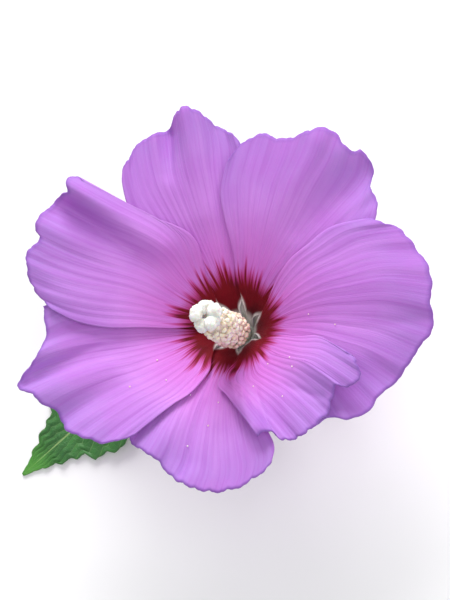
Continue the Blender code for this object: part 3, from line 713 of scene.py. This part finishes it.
shaft = Finish("shaft_white", 0.55, Specular_IOR_Level=0.35, Subsurface_Weight=0.2, Subsurface_Scale=0.0015)
mottle = shaft.mottle(260.0, 3000.0, 0.25)
shaft_tone = shaft.two_tone(mottle["Tone"], colour(244, 240, 222), colour(226, 216, 198))
shaft_finish = shaft.complete(shaft_tone, mottle["Normal"], mottle["Grain"], 0.5, 0.65)

# %% Where the column stands
COLUMN_FOOT = BASE_HEIGHT - 0.75
COLUMN_TOP = 43.5
COLUMN_SPAN = COLUMN_TOP - COLUMN_FOOT
COLUMN_LEAN = -3.6
COLUMN_SIDE = 0.6
STYLE_TOP = 49.5
COLUMN_RADII = ((0.0, 1.9), (0.12, 1.7), (0.32, 2.1), (0.46, 3.0), (0.85, 3.0), (1.0, 1.8))
SHAFT_RINGS = 22


def column_centre(height):
    """The column's middle line: it leans to -Y from its foot and straightens towards its end."""
    t = (height - COLUMN_FOOT) / (STYLE_TOP - COLUMN_FOOT)
    bend = math.sin(min(max(t, 0.0), 1.2) * 0.5 * math.pi)
    return Vector((COLUMN_SIDE * t, COLUMN_LEAN * bend, height))


def column_radius(share):
    return float(np.interp(share, *zip(*COLUMN_RADII)))


def add_turned(bm, rings, sides):
    """A closed tube through level rings, each a (centre, radius)."""
    verts = bmesh.ops.create_circle(bm, segments=sides, radius=1.0)["verts"]
    edges = list({edge for vert in verts for edge in vert.link_edges})
    first, middle, radius = list(edges), Vector(), 1.0
    for step, (centre, next_radius) in enumerate(rings):
        if step:
            grown = bmesh.ops.extrude_edge_only(bm, edges=edges)["geom"]
            verts = [part for part in grown if isinstance(part, bmesh.types.BMVert)]
            fresh = set(verts)
            edges = [part for part in grown
                     if isinstance(part, bmesh.types.BMEdge) and fresh.issuperset(part.verts)]
        for vert in verts:
            vert.co = Vector(centre) + (vert.co - middle) * (next_radius / radius)
        middle, radius = Vector(centre), next_radius
    bmesh.ops.holes_fill(bm, edges=first + edges, sides=0)


def add_ball(bm, centre, radius, stretch=(1.0, 1.0, 1.0), turn=Matrix(), subdivisions=2):
    """A ball, stretched and then turned, at its place."""
    matrix = Matrix.Translation(centre) @ turn.to_4x4() @ Matrix.Diagonal((*stretch, 1.0))
    return bmesh.ops.create_icosphere(bm, subdivisions=subdivisions, radius=radius, matrix=matrix)["verts"]


shaft_bm = bmesh.new()
add_turned(shaft_bm, [(column_centre(COLUMN_FOOT + share * (COLUMN_SPAN - 0.4)), column_radius(share))
                      for share in np.linspace(0.0, 1.0, SHAFT_RINGS)], 28)
bmesh.ops.recalc_face_normals(shaft_bm, faces=shaft_bm.faces)
finish_piece("staminal_shaft", shaft_bm, [shaft_finish], ["staminal_column"])

# %% Anthers on their threads
ANTHER_COUNT = 185
ANTHER_SPAN = (0.38, 0.985)
ANTHER_SIZE = 0.80
ANTHER_SEED = 5              # noise_vector starts from the clock unless it has a seed
THREAD_LENGTH = 1.45
GOLDEN_TURN = math.pi * (3.0 - math.sqrt(5.0))


def add_anther(bm, foot, tip, roll, size):
    """A kidney-shaped pollen sac across the end of a short thread."""
    turn = (tip - foot).normalized().to_track_quat("Z", "X").to_matrix() @ Matrix.Rotation(roll, 3, "Z")
    bmesh.ops.create_cone(bm, cap_ends=True, segments=5, radius1=0.17, radius2=0.12,
                          depth=(tip - foot).length,
                          matrix=Matrix.Translation(0.5 * (foot + tip)) @ turn.to_4x4())
    for vert in add_ball(bm, tip, size, (1.0, 0.68, 0.62), turn):
        local = turn.transposed() @ (vert.co - tip)
        local.z -= 0.42 * (local.x ** 2) / size
        local.z -= 0.16 * size * math.exp(-((local.x / (0.22 * size)) ** 2)) * (local.z > 0)
        vert.co = tip + turn @ local


anther_bm = bmesh.new()
noise.seed_set(ANTHER_SEED)
for k in range(ANTHER_COUNT):
    share = ANTHER_SPAN[0] + (ANTHER_SPAN[1] - ANTHER_SPAN[0]) * (k + 0.5) / ANTHER_COUNT
    jitter = noise.noise_vector(Vector((0.73 * k, 3.1, 7.7)))
    heading = k * GOLDEN_TURN + 0.25 * jitter.x
    level = Vector((math.cos(heading), math.sin(heading), 0.0))
    lower_edge = float(smooth_step(0.6, 0.38, share))
    rise = 0.22 - 0.75 * lower_edge + 0.25 * jitter.y + 120.0 * max(0.0, share - 0.93)
    foot = column_centre(COLUMN_FOOT + share * COLUMN_SPAN) + 0.75 * column_radius(share) * level
    length = THREAD_LENGTH + 0.7 * lower_edge + 0.45 * jitter.z
    tip = foot + (level + rise * Vector(UP)).normalized() * length
    add_anther(anther_bm, foot, tip, 0.9 * k + 2.0 * jitter.x, ANTHER_SIZE + 0.14 * jitter.z)
finish_piece("anthers", anther_bm, [anther_finish], ["staminal_column"])

# %% [markdown]
# ## Stigmas
# Out of the column's end come five short arms, and each ends in a flat round stigma of tiny white
# papillae. They stand close together and leave a small dark gap between them. Each is a ball squashed
# flat, with a lumpy skin from smooth noise.

# %% Style and stigmas
STIGMA_COUNT = 5
STIGMA_RADIUS = 1.78
STIGMA_LUMPS = ((0.8, 0.42), (2.6, 0.22), (7.0, 0.07))   # how fine, and how high

stigma = Finish("stigma_white", 0.7, Specular_IOR_Level=0.3, Subsurface_Weight=0.2, Subsurface_Scale=0.0015)
mottle = stigma.mottle(600.0, 6500.0, 0.7)
white = stigma.two_tone(mottle["Tone"], colour(254, 253, 248), colour(240, 236, 226))
stigma_finish = stigma.complete(white, mottle["Normal"], mottle["Grain"], 0.6, 0.8)

stigma_bm = bmesh.new()
foot_height = COLUMN_TOP + 0.2
fork_height = 0.5 * (foot_height + STYLE_TOP) - 0.6
style_rings = ((foot_height, 0.9), (fork_height, 1.0), (STYLE_TOP - 1.6, 0.8))
add_turned(stigma_bm, [(column_centre(height), radius) for height, radius in style_rings], 16)
for k in range(STIGMA_COUNT):
    turn = 2.0 * math.pi * (k + 0.3) / STIGMA_COUNT
    out = Vector((math.cos(turn), math.sin(turn), 0.0))
    head = column_centre(STYLE_TOP - 1.2 * (k % 2)) + 2.3 * out
    fork = column_centre(fork_height) + 0.7 * out
    add_turned(stigma_bm, [(fork, 0.5), (0.5 * (fork + head) + 0.15 * out, 0.5), (head, 0.6)], 10)
    tilt = (out + Vector((0.0, 0.0, 1.9))).to_track_quat("Z", "Y").to_matrix()
    for vert in add_ball(stigma_bm, head, STIGMA_RADIUS, (1.08, 0.94, 0.78), tilt, 4):
        lump = sum(noise.noise(vert.co * fineness) * rise for fineness, rise in STIGMA_LUMPS)
        vert.co += (vert.co - head).normalized() * lump
bmesh.ops.recalc_face_normals(stigma_bm, faces=stigma_bm.faces)
finish_piece("style_and_stigmas_skin", stigma_bm, [stigma_finish], ["style_and_stigmas"])

# %% [markdown]
# ## The calyx
# Five sepals, grown together into a cup, hold the petals' feet. They are dull green outside and pale and
# woolly inside, where they show between the claws as part of the white star. The cup's section follows
# the underside of the trumpet, and its edge rises into five pointed lobes. It is one grid bent round
# until its two sides meet, and the doubled seam and foot are merged.

# %% Calyx finish
calyx = Finish("calyx_green", 0.75, Sheen_Weight=0.5, Sheen_Roughness=0.5, Specular_IOR_Level=0.25,
               Sheen_Tint=(0.85, 0.95, 0.7, 1.0))
uv = calyx.uv()
mottle = calyx.mottle(220.0, 4200.0, 0.35)
ribs = calyx.streaks(uv, 70.0, 2.5, 0.25, mottle["Normal"])
green = calyx.two_tone(mottle["Tone"], colour(112, 138, 68), colour(86, 114, 54))
green = calyx.blend(calyx.ramp(ribs["Streak"], 0.45, 0.7, 0.0, 0.6), green, colour(140, 160, 96))
green = calyx.blend(calyx.ramp(calyx.parts(uv)[1], 0.85, 1.0, 0.0, 0.35), green, colour(132, 104, 72))
woolly = calyx.blend(calyx.ramp(ribs["Streak"], 0.4, 0.65), colour(250, 250, 246), colour(222, 226, 214))
face = calyx.facing()
east, north = calyx.from_axis(calyx.spot())
outwards = calyx.calc("ADD", calyx.calc("MULTIPLY", face[0], east), calyx.calc("MULTIPLY", face[1], north))
inwards = calyx.calc("SUBTRACT", calyx.calc("MULTIPLY", face[2], 0.004), outwards)
green = calyx.blend(calyx.ramp(inwards, -0.0002, 0.0002), green, woolly)
calyx_finish = calyx.complete(green, ribs["Normal"], mottle["Grain"], 0.65, 0.85)

# %% Calyx
SEPAL_COUNT = 5
CALYX_FLOOR = BASE_HEIGHT - 1.5
CALYX_DROP = (1.1, 2.2)      # how far it lies below the trumpet, at the claws and at its lobes
CALYX_REACH = (0.52, 0.95)   # shares of its section, between the lobes and at a lobe's tip
CALYX_THICKNESS = 0.5
CUP_REACHES = (3.1, 3.6, 4.3, 5.5, 7.0, 9.0, 11.5, 14.0, 17.0)


def under_trumpet(reach, drop):
    place = on_trumpet(np.array([reach]), np.array([0.0]), np.array([-drop]))[0]
    return place[0], place[2] - sway(reach, 0.0)


def cup_profile(extra):
    """The cup's section from its middle outwards, extra further from the petals: a floor, then the wall."""
    low = CALYX_FLOOR - extra
    section = [(0.0, low), (1.8, low), (3.0 + 0.6 * extra, low + 0.15)]
    for reach in CUP_REACHES:
        drop = CALYX_DROP[0] + (CALYX_DROP[1] - CALYX_DROP[0]) * smooth_step(3.2, 7.0, reach)
        section.append(under_trumpet(reach, drop + extra))
    return curve_through(np.array(section), 161)


def along_profile(profile, share):
    at = np.linspace(0.0, 1.0, len(profile))
    return np.interp(share, at, profile[:, 0]), np.interp(share, at, profile[:, 1])


def calyx_place(u, v):
    heading = 2.0 * math.pi * u
    from_middle = np.abs((u * SEPAL_COUNT) % 1.0 - 0.5) * 2.0
    reach_share = CALYX_REACH[0] + (CALYX_REACH[1] - CALYX_REACH[0]) * (1.0 - from_middle) ** 0.8
    out, height = along_profile(cup_profile(0.0), v * reach_share)
    rib = 0.10 * np.exp(-((from_middle / 0.10) ** 2)) + 0.07 * np.exp(-(((1.0 - from_middle) / 0.08) ** 2))
    height = height - rib * smooth_step(0.15, 0.4, v) * smooth_step(1.0, 0.8, v)
    x, y = out * np.cos(heading), out * np.sin(heading)
    return np.column_stack([x, y, height + sway(x, y)])


calyx_bm = sheet_bmesh(calyx_place, 150, 44)
bmesh.ops.remove_doubles(calyx_bm, verts=calyx_bm.verts, dist=0.01)
add_wall(finish_piece("calyx_skin", calyx_bm, [calyx_finish], ["calyx"]), CALYX_THICKNESS)

# %% [markdown]
# ## Bracts
# A ring of seven narrow green bracts stands under the cup, the mark of this family of flowers. Each is a
# strip that starts under the cup, runs up beside it and bends away at its tip, with a fold along its
# middle.

# %% Bracts
BRACT_COUNT = 7
BRACT_SPAN = (0.125, 0.74)   # shares of the cup's section that it follows
BRACT_HALF_WIDTH = 0.75
BRACT_THICKNESS = 0.42
BRACT_CLEARANCE = 0.95       # from the middle of the cup's wall to the middle of the bract
BRACT_BEND = (2.6, -3.2)     # how far its tip goes outwards and down
bract_profile = cup_profile(BRACT_CLEARANCE)

for k in range(BRACT_COUNT):
    turn = 2.0 * math.pi * (k + 0.5) / BRACT_COUNT
    out_way = np.array([math.cos(turn), math.sin(turn), 0.0])
    side_way = np.array([-math.sin(turn), math.cos(turn), 0.0])

    def bract_place(u, v):
        out, height = along_profile(bract_profile, BRACT_SPAN[0] + (BRACT_SPAN[1] - BRACT_SPAN[0]) * v)
        bend = smooth_step(0.35, 1.0, v)
        taper = np.clip(0.6 + 1.6 * v, 0.0, 1.0) * np.sqrt(np.clip(1.02 - v ** 3, 0.0, 1.0))
        side = (2.0 * u - 1.0) * BRACT_HALF_WIDTH * taper
        side += 0.25 * math.sin(2.0 * k) * smooth_step(0.4, 1.0, v)
        fold = -0.14 * (1.0 - np.abs(2.0 * u - 1.0)) * smooth_step(0.05, 0.3, v)
        return (np.outer(out + BRACT_BEND[0] * bend, out_way) + np.outer(side, side_way)
                + np.outer(height + BRACT_BEND[1] * bend + fold, UP))

    bract_bm = sheet_bmesh(bract_place, 8, 34, 0.13 * k)
    node = f"epicalyx_bract_{k + 1}"
    made = finish_piece(f"bract_{k + 1}_skin", bract_bm, [calyx_finish], [node])
    add_wall(made, BRACT_THICKNESS)
print("bracts made:", BRACT_COUNT)

# %% [markdown]
# ## Stem finishes
# The flower's stalk and the leaf's are green and finely grooved. The cut twig is young bark, grey-brown
# over green with pale corky dots, and each cut shows cream wood round a paler pith. The limbs carry a UV
# map of their own, so grooves run along them and the dots are a little longer than wide. On a cut, V
# goes on from 1 at the bark to 2 in the middle, and tells the rings apart.

# %% Stalk, bark and cut finishes
stalk = Finish("stalk_green", 0.6, Sheen_Weight=0.35, Specular_IOR_Level=0.3)
mottle = stalk.mottle(260.0, 3800.0, 0.3)
grooves = stalk.streaks(stalk.uv(), 22.0, 3.0, 0.35, mottle["Normal"])
green = stalk.two_tone(mottle["Tone"], colour(122, 146, 74), colour(94, 120, 58))
green = stalk.blend(stalk.ramp(grooves["Streak"], 0.4, 0.7, 0.0, 0.6), green, colour(150, 164, 100))
stalk_finish = stalk.complete(green, grooves["Normal"], mottle["Grain"], 0.5, 0.7)

bark = Finish("young_bark", 0.8, Specular_IOR_Level=0.25)
uv = bark.uv()
mottle = bark.mottle(190.0, 3200.0, 0.5)
grooves = bark.streaks(uv, 18.0, 7.0, 0.6, mottle["Normal"])
cells = bark.add("ShaderNodeTexVoronoi", {"Vector": bark.stretched(uv, 7.0, 16.0), "Scale": 1.0})
dots = bark.ramp(cells.outputs["Distance"], 0.10, 0.20, 1.0, 0.0)
brown = bark.two_tone(mottle["Tone"], colour(134, 124, 92), colour(112, 112, 72))
brown = bark.blend(bark.ramp(grooves["Streak"], 0.4, 0.7, 0.0, 0.7), brown, colour(158, 146, 116))
brown = bark.blend(dots, brown, colour(196, 182, 148))
dotted = bark.bump(dots, 0.5, GRAIN_BUMP, grooves["Normal"])
bark_finish = bark.complete(brown, dotted, mottle["Grain"], 0.7, 0.9)

cut = Finish("cut_wood", 0.75, Specular_IOR_Level=0.25)
ring = cut.parts(cut.uv())[1]
mottle = cut.mottle(500.0, 5200.0, 0.5)
wood = cut.blend(cut.ramp(ring, 1.30, 1.36), colour(206, 190, 146), colour(236, 230, 208))
wood = cut.blend(cut.ramp(ring, 1.0, 1.06, 1.0, 0.0), wood, colour(120, 140, 70))
wood = cut.blend(cut.ramp(mottle["Tone"], 0.4, 0.7, 0.0, 0.4), wood, colour(186, 164, 118))
cut_finish = cut.complete(wood, mottle["Normal"], mottle["Grain"], 0.65, 0.85)

# %% [markdown]
# ## A helper for round limbs
# A limb is a sheet too: the same grid, with U bent round a line and V along it. Its first and last rows
# draw in to a point, which closes the ends, and the seam and both points are merged. A function gives
# the small relief of the skin.

# %% Limb helper
END_RINGS = 4


def limb_bmesh(points, radii, sides, relief, cut_ends=False):
    points = [Vector(point) for point in points]
    last = len(points) - 1
    steps = [(b - a).normalized() for a, b in zip(points, points[1:])]
    ways = [steps[0]] + [(a + b).normalized() for a, b in zip(steps, steps[1:])] + [steps[-1]]
    rights = [ways[0].cross(Vector(UP)).normalized()]
    for way in ways:
        rights.append((rights[-1] - rights[-1].dot(way) * way).normalized())
    inwards = [k / END_RINGS for k in range(END_RINGS)]
    stations = ([(0, inner) for inner in inwards] + [(j, 1.0) for j in range(last + 1)]
                + [(last, inner) for inner in reversed(inwards)])
    rows = len(stations) - 1

    def place(u, v):
        for turn, share in zip(u, v):
            j, inner = stations[round(share * rows)]
            right, angle = rights[j + 1], 2.0 * math.pi * turn
            out = inner * float(radii[j] + relief(turn % 1.0, j / last))
            yield points[j] + out * (math.cos(angle) * right + math.sin(angle) * right.cross(ways[j]))

    bm = sheet_bmesh(place, sides, rows)
    uv_layer = bm.loops.layers.uv["sheet_uv"]
    for face in bm.faces:
        met = [stations[round(loop[uv_layer].uv.y * rows)] for loop in face.loops]
        is_cut = cut_ends and min(inner for _, inner in met) < 1.0
        face.material_index = int(is_cut)
        for loop, (j, inner) in zip(face.loops, met):
            beyond = (1.0 - inner) * (1.0 if j else -1.0)
            loop[uv_layer].uv.y = 2.0 - inner if is_cut else j / last + beyond
    bmesh.ops.remove_doubles(bm, verts=bm.verts, dist=0.001)
    bmesh.ops.recalc_face_normals(bm, faces=bm.faces)
    return bm


def ribbed(turn, v):
    """The soft ribs of a green stalk."""
    ribs = 0.05 * math.cos(2.0 * math.pi * 9.0 * turn + 2.0 * v)
    return ribs + 0.04 * math.sin(9.0 * v + 6.28 * turn) - 0.05


print("a limb's end has", END_RINGS, "rings")

# %% [markdown]
# ## The twig
# The bloom comes with a short piece of this year's wood, cut at both ends, that lies on the floor under
# it. It tapers, swells at the node where the flower's stalk leaves it, and carries a ring there, and
# further up a bud over the scar of an older leaf.

# %% Twig
TWIG_RADIUS = 2.3
TWIG_NODE = (5.8, 5.8)       # where the flower stalk leaves it, in plan
TWIG_WAY = np.array([math.cos(math.radians(135.0)), math.sin(math.radians(135.0))])
TWIG_TOP_LENGTH = 38.0
TWIG_FOOT_LENGTH = 20.0
BUD_TURN = 0.2               # the side of the twig that the bud and the scar are on
TWIG_MARKS = ((1.6, 0.5, 0.12), (3.0, 0.7, -0.06))       # rings: along, width, height
BUD_MARKS = ((24.0, 1.5, 0.35, 0.07), (22.2, 0.8, -0.14, 0.08))   # and the width in turns


def bell(away, width):
    return math.exp(-((away / width) ** 2))


def twig_radius(along):
    share = (along + TWIG_FOOT_LENGTH) / (TWIG_FOOT_LENGTH + TWIG_TOP_LENGTH)
    return TWIG_RADIUS * (1.0 - 0.14 * share) + 0.35 * bell(along, 4.0)


def twig_point(along):
    bow = 0.9 * (along / TWIG_TOP_LENGTH) ** 2
    x, y = np.array(TWIG_NODE) + along * TWIG_WAY + bow * np.array([TWIG_WAY[1], -TWIG_WAY[0]])
    return np.array([x, y, twig_radius(along)])


def twig_relief(turn, v):
    along = -TWIG_FOOT_LENGTH + v * (TWIG_FOOT_LENGTH + TWIG_TOP_LENGTH)
    way = Vector((math.cos(2.0 * math.pi * turn), math.sin(2.0 * math.pi * turn), 0.16 * along))
    lift = 0.10 * noise.noise(2.2 * way) - 0.05
    lift += 0.05 * noise.noise(Vector((6.0 * way.x, 6.0 * way.y, 0.5 * along)))
    lift += sum(rise * bell(along - at, width) for at, width, rise in TWIG_MARKS)
    return lift + sum(rise * bell(along - at, width) * bell(turn - BUD_TURN, turns)
                      for at, width, rise, turns in BUD_MARKS)


twig_stations = np.linspace(-TWIG_FOOT_LENGTH, TWIG_TOP_LENGTH, 75)
twig_bm = limb_bmesh([twig_point(along) for along in twig_stations],
                     [twig_radius(along) for along in twig_stations], 40, twig_relief, cut_ends=True)
finish_piece("twig_skin", twig_bm, [bark_finish, cut_finish], ["twig"])

# %% [markdown]
# ## The flower's stalk
# A short green stalk leaves the twig's node, bends up and widens just under the cup. It is grooved along
# its length, so the limb helper gets a relief of nine soft ribs.

# %% Flower stalk
STALK_RADIUS = 1.25
STALK_FLARE = 0.65           # how much wider it is under the cup
SEAT_GAP = 0.3               # between the solids, where one grows out of another
STALK_STATIONS = 30
stalk_top = CALYX_FLOOR - 0.1
towards_axis = np.array([-TWIG_NODE[0], -TWIG_NODE[1], 0.0]) / math.hypot(*TWIG_NODE)
stalk_start = twig_point(0.0) + towards_axis * (twig_radius(0.0) + SEAT_GAP)
stalk_route = np.array([stalk_start, stalk_start + 2.0 * towards_axis + 0.5 * UP,
                        (0.7, 0.7, stalk_top - 2.8), (0.0, 0.0, stalk_top - 1.0), (0.0, 0.0, stalk_top)])
stalk_radii = STALK_RADIUS + STALK_FLARE * smooth_step(0.72, 1.0, np.linspace(0.0, 1.0, STALK_STATIONS))
stalk_bm = limb_bmesh(curve_through(stalk_route, STALK_STATIONS), stalk_radii, 36, ribbed)
finish_piece("flower_stalk_skin", stalk_bm, [stalk_finish], ["flower_stalk"])

# %% [markdown]
# ## The leaf
# One leaf looks out from under the petals at the lower left: a wedge with coarse teeth, a midrib and
# side veins that slant to the teeth. The outline is the solid's own, with finer steps between its
# points. The sheet swells softly between the side veins, and the same lines, worked out from the UV
# map, are paler in the finish and pressed in by its bump.

# %% Leaf finish
VEINS_ALONG = 9.0            # side veins on each half
VEIN_SLANT = 6.5
VEIN_BUMP = 0.0005           # metres

leaf = Finish("leaf_green", 0.5, Specular_IOR_Level=0.4, Subsurface_Weight=0.05, Subsurface_Scale=0.001)
uv = leaf.uv()
parts = leaf.parts(uv)
from_rib = leaf.calc("ABSOLUTE", leaf.calc("SUBTRACT", parts[0], 0.5))
mottle = leaf.mottle(110.0, 2200.0, 0.3)
phase = leaf.calc("ADD", leaf.calc("MULTIPLY", parts[1], VEINS_ALONG),
                  leaf.calc("MULTIPLY", from_rib, VEIN_SLANT))
from_vein = leaf.calc("ABSOLUTE", leaf.calc("SUBTRACT", leaf.calc("FRACT", phase), 0.5))
side_veins = leaf.ramp(from_vein, 0.0, 0.075, 1.0, 0.0)
midrib = leaf.ramp(from_rib, 0.0, 0.03, 1.0, 0.0)
cells = leaf.add("ShaderNodeTexVoronoi", {"Vector": leaf.stretched(uv, 16.0, 34.0), "Scale": 1.0},
                 feature="DISTANCE_TO_EDGE")
net = leaf.ramp(cells.outputs["Distance"], 0.0, 0.09, 1.0, 0.0)
green = leaf.two_tone(mottle["Tone"], colour(62, 122, 58), colour(44, 98, 46))
green = leaf.blend(leaf.calc("MULTIPLY", net, 0.25), green, colour(92, 142, 76))
green = leaf.blend(leaf.calc("MULTIPLY", side_veins, 0.6), green, colour(112, 158, 92))
green = leaf.blend(midrib, green, colour(142, 176, 108))
# painted light: the quarter towards the tip, which reaches out from under the petals' shade, is painted a
# brighter yellow-green
green = leaf.blend(leaf.ramp(parts[1], 0.02, 0.26, 0.6, 0.0), green, colour(84, 156, 44))
underside = leaf.blend(0.55, green, colour(150, 176, 126))
green = leaf.blend(leaf.ramp(leaf.facing()[2], -0.1, 0.1), underside, green)
relief = leaf.calc("MAXIMUM", leaf.calc("MULTIPLY", side_veins, 0.7), midrib)
relief = leaf.calc("ADD", relief, leaf.calc("MULTIPLY", net, 0.35))
veined = leaf.bump(relief, 0.35, VEIN_BUMP, mottle["Normal"], invert=True)
leaf_finish = leaf.complete(green, veined, mottle["Tone"], 0.42, 0.6)

# %% Leaf blade
LEAF_TIP = np.array([-61.3, -30.7])
LEAF_HEADING = math.radians(39.5)        # from the tip towards its stalk
LEAF_LENGTH = 50.0
LEAF_SOLID_THICKNESS = 0.6
LEAF_THICKNESS = 0.5
LEAF_EDGE = ((0.0, 0.35), (5.1, 2.2), (5.5, 3.1), (8.4, 3.4), (9.5, 5.0), (12.5, 5.4), (13.2, 6.6),
             (16.0, 7.0), (17.0, 10.2), (20.5, 10.6), (22.0, 12.4), (25.0, 12.6), (28.0, 12.0),
             (32.0, 10.8), (38.0, 8.0), (44.0, 4.4), (48.0, 2.0), (50.0, 1.1))
leaf_way = np.array([math.cos(LEAF_HEADING), math.sin(LEAF_HEADING)])
leaf_side_way = np.array([-leaf_way[1], leaf_way[0]])


def leaf_rise(along, side):
    arch = 6.0 * smooth_step(14.0, LEAF_LENGTH, along)
    trough = 0.45 * (1.0 - np.exp(-((side / 3.0) ** 2)))
    return 0.5 * LEAF_SOLID_THICKNESS + arch + trough


def leaf_place(u, v):
    along = LEAF_LENGTH * v
    across_share = 2.0 * u - 1.0
    teeth = np.abs(np.sin(math.pi * 0.33 * along + 0.4)) ** 0.6
    teeth = 0.28 * (teeth - 0.8) * smooth_step(0.0, 4.0, along) * smooth_step(48.0, 40.0, along)
    side = across_share * (np.interp(along, *zip(*LEAF_EDGE)) + teeth)
    phase = VEINS_ALONG * v + VEIN_SLANT * np.abs(u - 0.5)
    pillow = 0.16 * np.cos(2.0 * math.pi * phase) * np.minimum(1.0, np.abs(across_share) * 4.0)
    pillow = pillow * smooth_step(3.0, 10.0, along) * smooth_step(50.0, 40.0, along)
    flat = LEAF_TIP + np.outer(along, leaf_way) + np.outer(side, leaf_side_way)
    return np.column_stack([flat, leaf_rise(along, side) + pillow + 0.05])


leaf_bm = sheet_bmesh(leaf_place, 48, 150)
add_wall(finish_piece("leaf_blade_skin", leaf_bm, [leaf_finish], ["leaf_blade"]), LEAF_THICKNESS)

# %% [markdown]
# ## The leaf's stalk
# A thin stalk runs from the twig's side to the foot of the blade in one slight arch. Its solid stops
# short of the blade, and its skin goes on a little way into it, so that no light shows between them.

# %% Leaf stalk
LEAF_STALK_SEAT = 4.5        # how far up the twig from its node it starts
LEAF_STALK_CLEAR = 1.2
LEAF_STALK_OVERLAP = 1.4
LEAF_STALK_STATIONS = 36
stalk_end = np.append(LEAF_TIP + (LEAF_LENGTH + 2.0 * SEAT_GAP) * leaf_way, leaf_rise(LEAF_LENGTH, 0.0))
leaf_seat = twig_point(LEAF_STALK_SEAT)
away = (stalk_end - leaf_seat) * (1.0 - UP)
away /= np.linalg.norm(away)
leaf_start = leaf_seat + away * (twig_radius(LEAF_STALK_SEAT) + LEAF_STALK_CLEAR)
stalk_end[:2] -= LEAF_STALK_OVERLAP * leaf_way
halfway = 0.5 * (leaf_start + stalk_end)
halfway[2] = stalk_end[2] - 0.1
leaf_route = np.array([leaf_start, leaf_start + 4.0 * away + 1.2 * UP, halfway, stalk_end])
leaf_stalk_bm = limb_bmesh(curve_through(leaf_route, LEAF_STALK_STATIONS),
                           np.linspace(1.1, 0.8, LEAF_STALK_STATIONS), 28, ribbed)
finish_piece("leaf_stalk_skin", leaf_stalk_bm, [stalk_finish], ["leaf_stalk"])

# %% [markdown]
# ## Spilled pollen
# Ripe anthers drop large white grains, and some lie on the lower petals and in the crimson eye. Each is
# a tiny ball with its middle just above the petal's own surface, so that it rests there from any side.

# %% Pollen
POLLEN_RADIUS = 0.17
POLLEN_SPOTS = {             # shares across and along each petal
    "petal_bottom": ((0.30, 0.50), (0.62, 0.44), (0.55, 0.60), (0.42, 0.78)),
    "petal_lower_right": ((0.30, 0.52), (0.55, 0.47), (0.72, 0.56), (0.38, 0.72), (0.60, 0.66)),
    "petal_lower_left": ((0.75, 0.47), (0.55, 0.42), (0.66, 0.62)),
    "petal_right": ((0.32, 0.44), (0.52, 0.38), (0.44, 0.55)),
}

pollen = Finish("pollen_grain", 0.8, Specular_IOR_Level=0.2)
mottle = pollen.mottle(900.0, 9000.0, 0.4)
tone = pollen.blend(pollen.ramp(mottle["Tone"], 0.4, 0.6), colour(255, 250, 240), colour(246, 222, 190))
pollen_finish = pollen.complete(tone, mottle["Normal"], mottle["Grain"], 0.7, 0.9)

pollen_bm = bmesh.new()
for number, (node, petal) in enumerate(PETALS.items()):
    for k, (u, v) in enumerate(POLLEN_SPOTS.get(node, ())):
        x, y = petal_plan(petal, np.array([u]), np.array([v])).T
        lift = petal_lift(petal, x, y) + 0.5 * PETAL_THICKNESS + 0.13
        radius = POLLEN_RADIUS + 0.03 * math.sin(5.0 * k + number)
        add_ball(pollen_bm, Vector(on_trumpet(x, y, lift)[0]), radius)
finish_piece("pollen", pollen_bm, [pollen_finish], [])

bpy.context.view_layer.update()
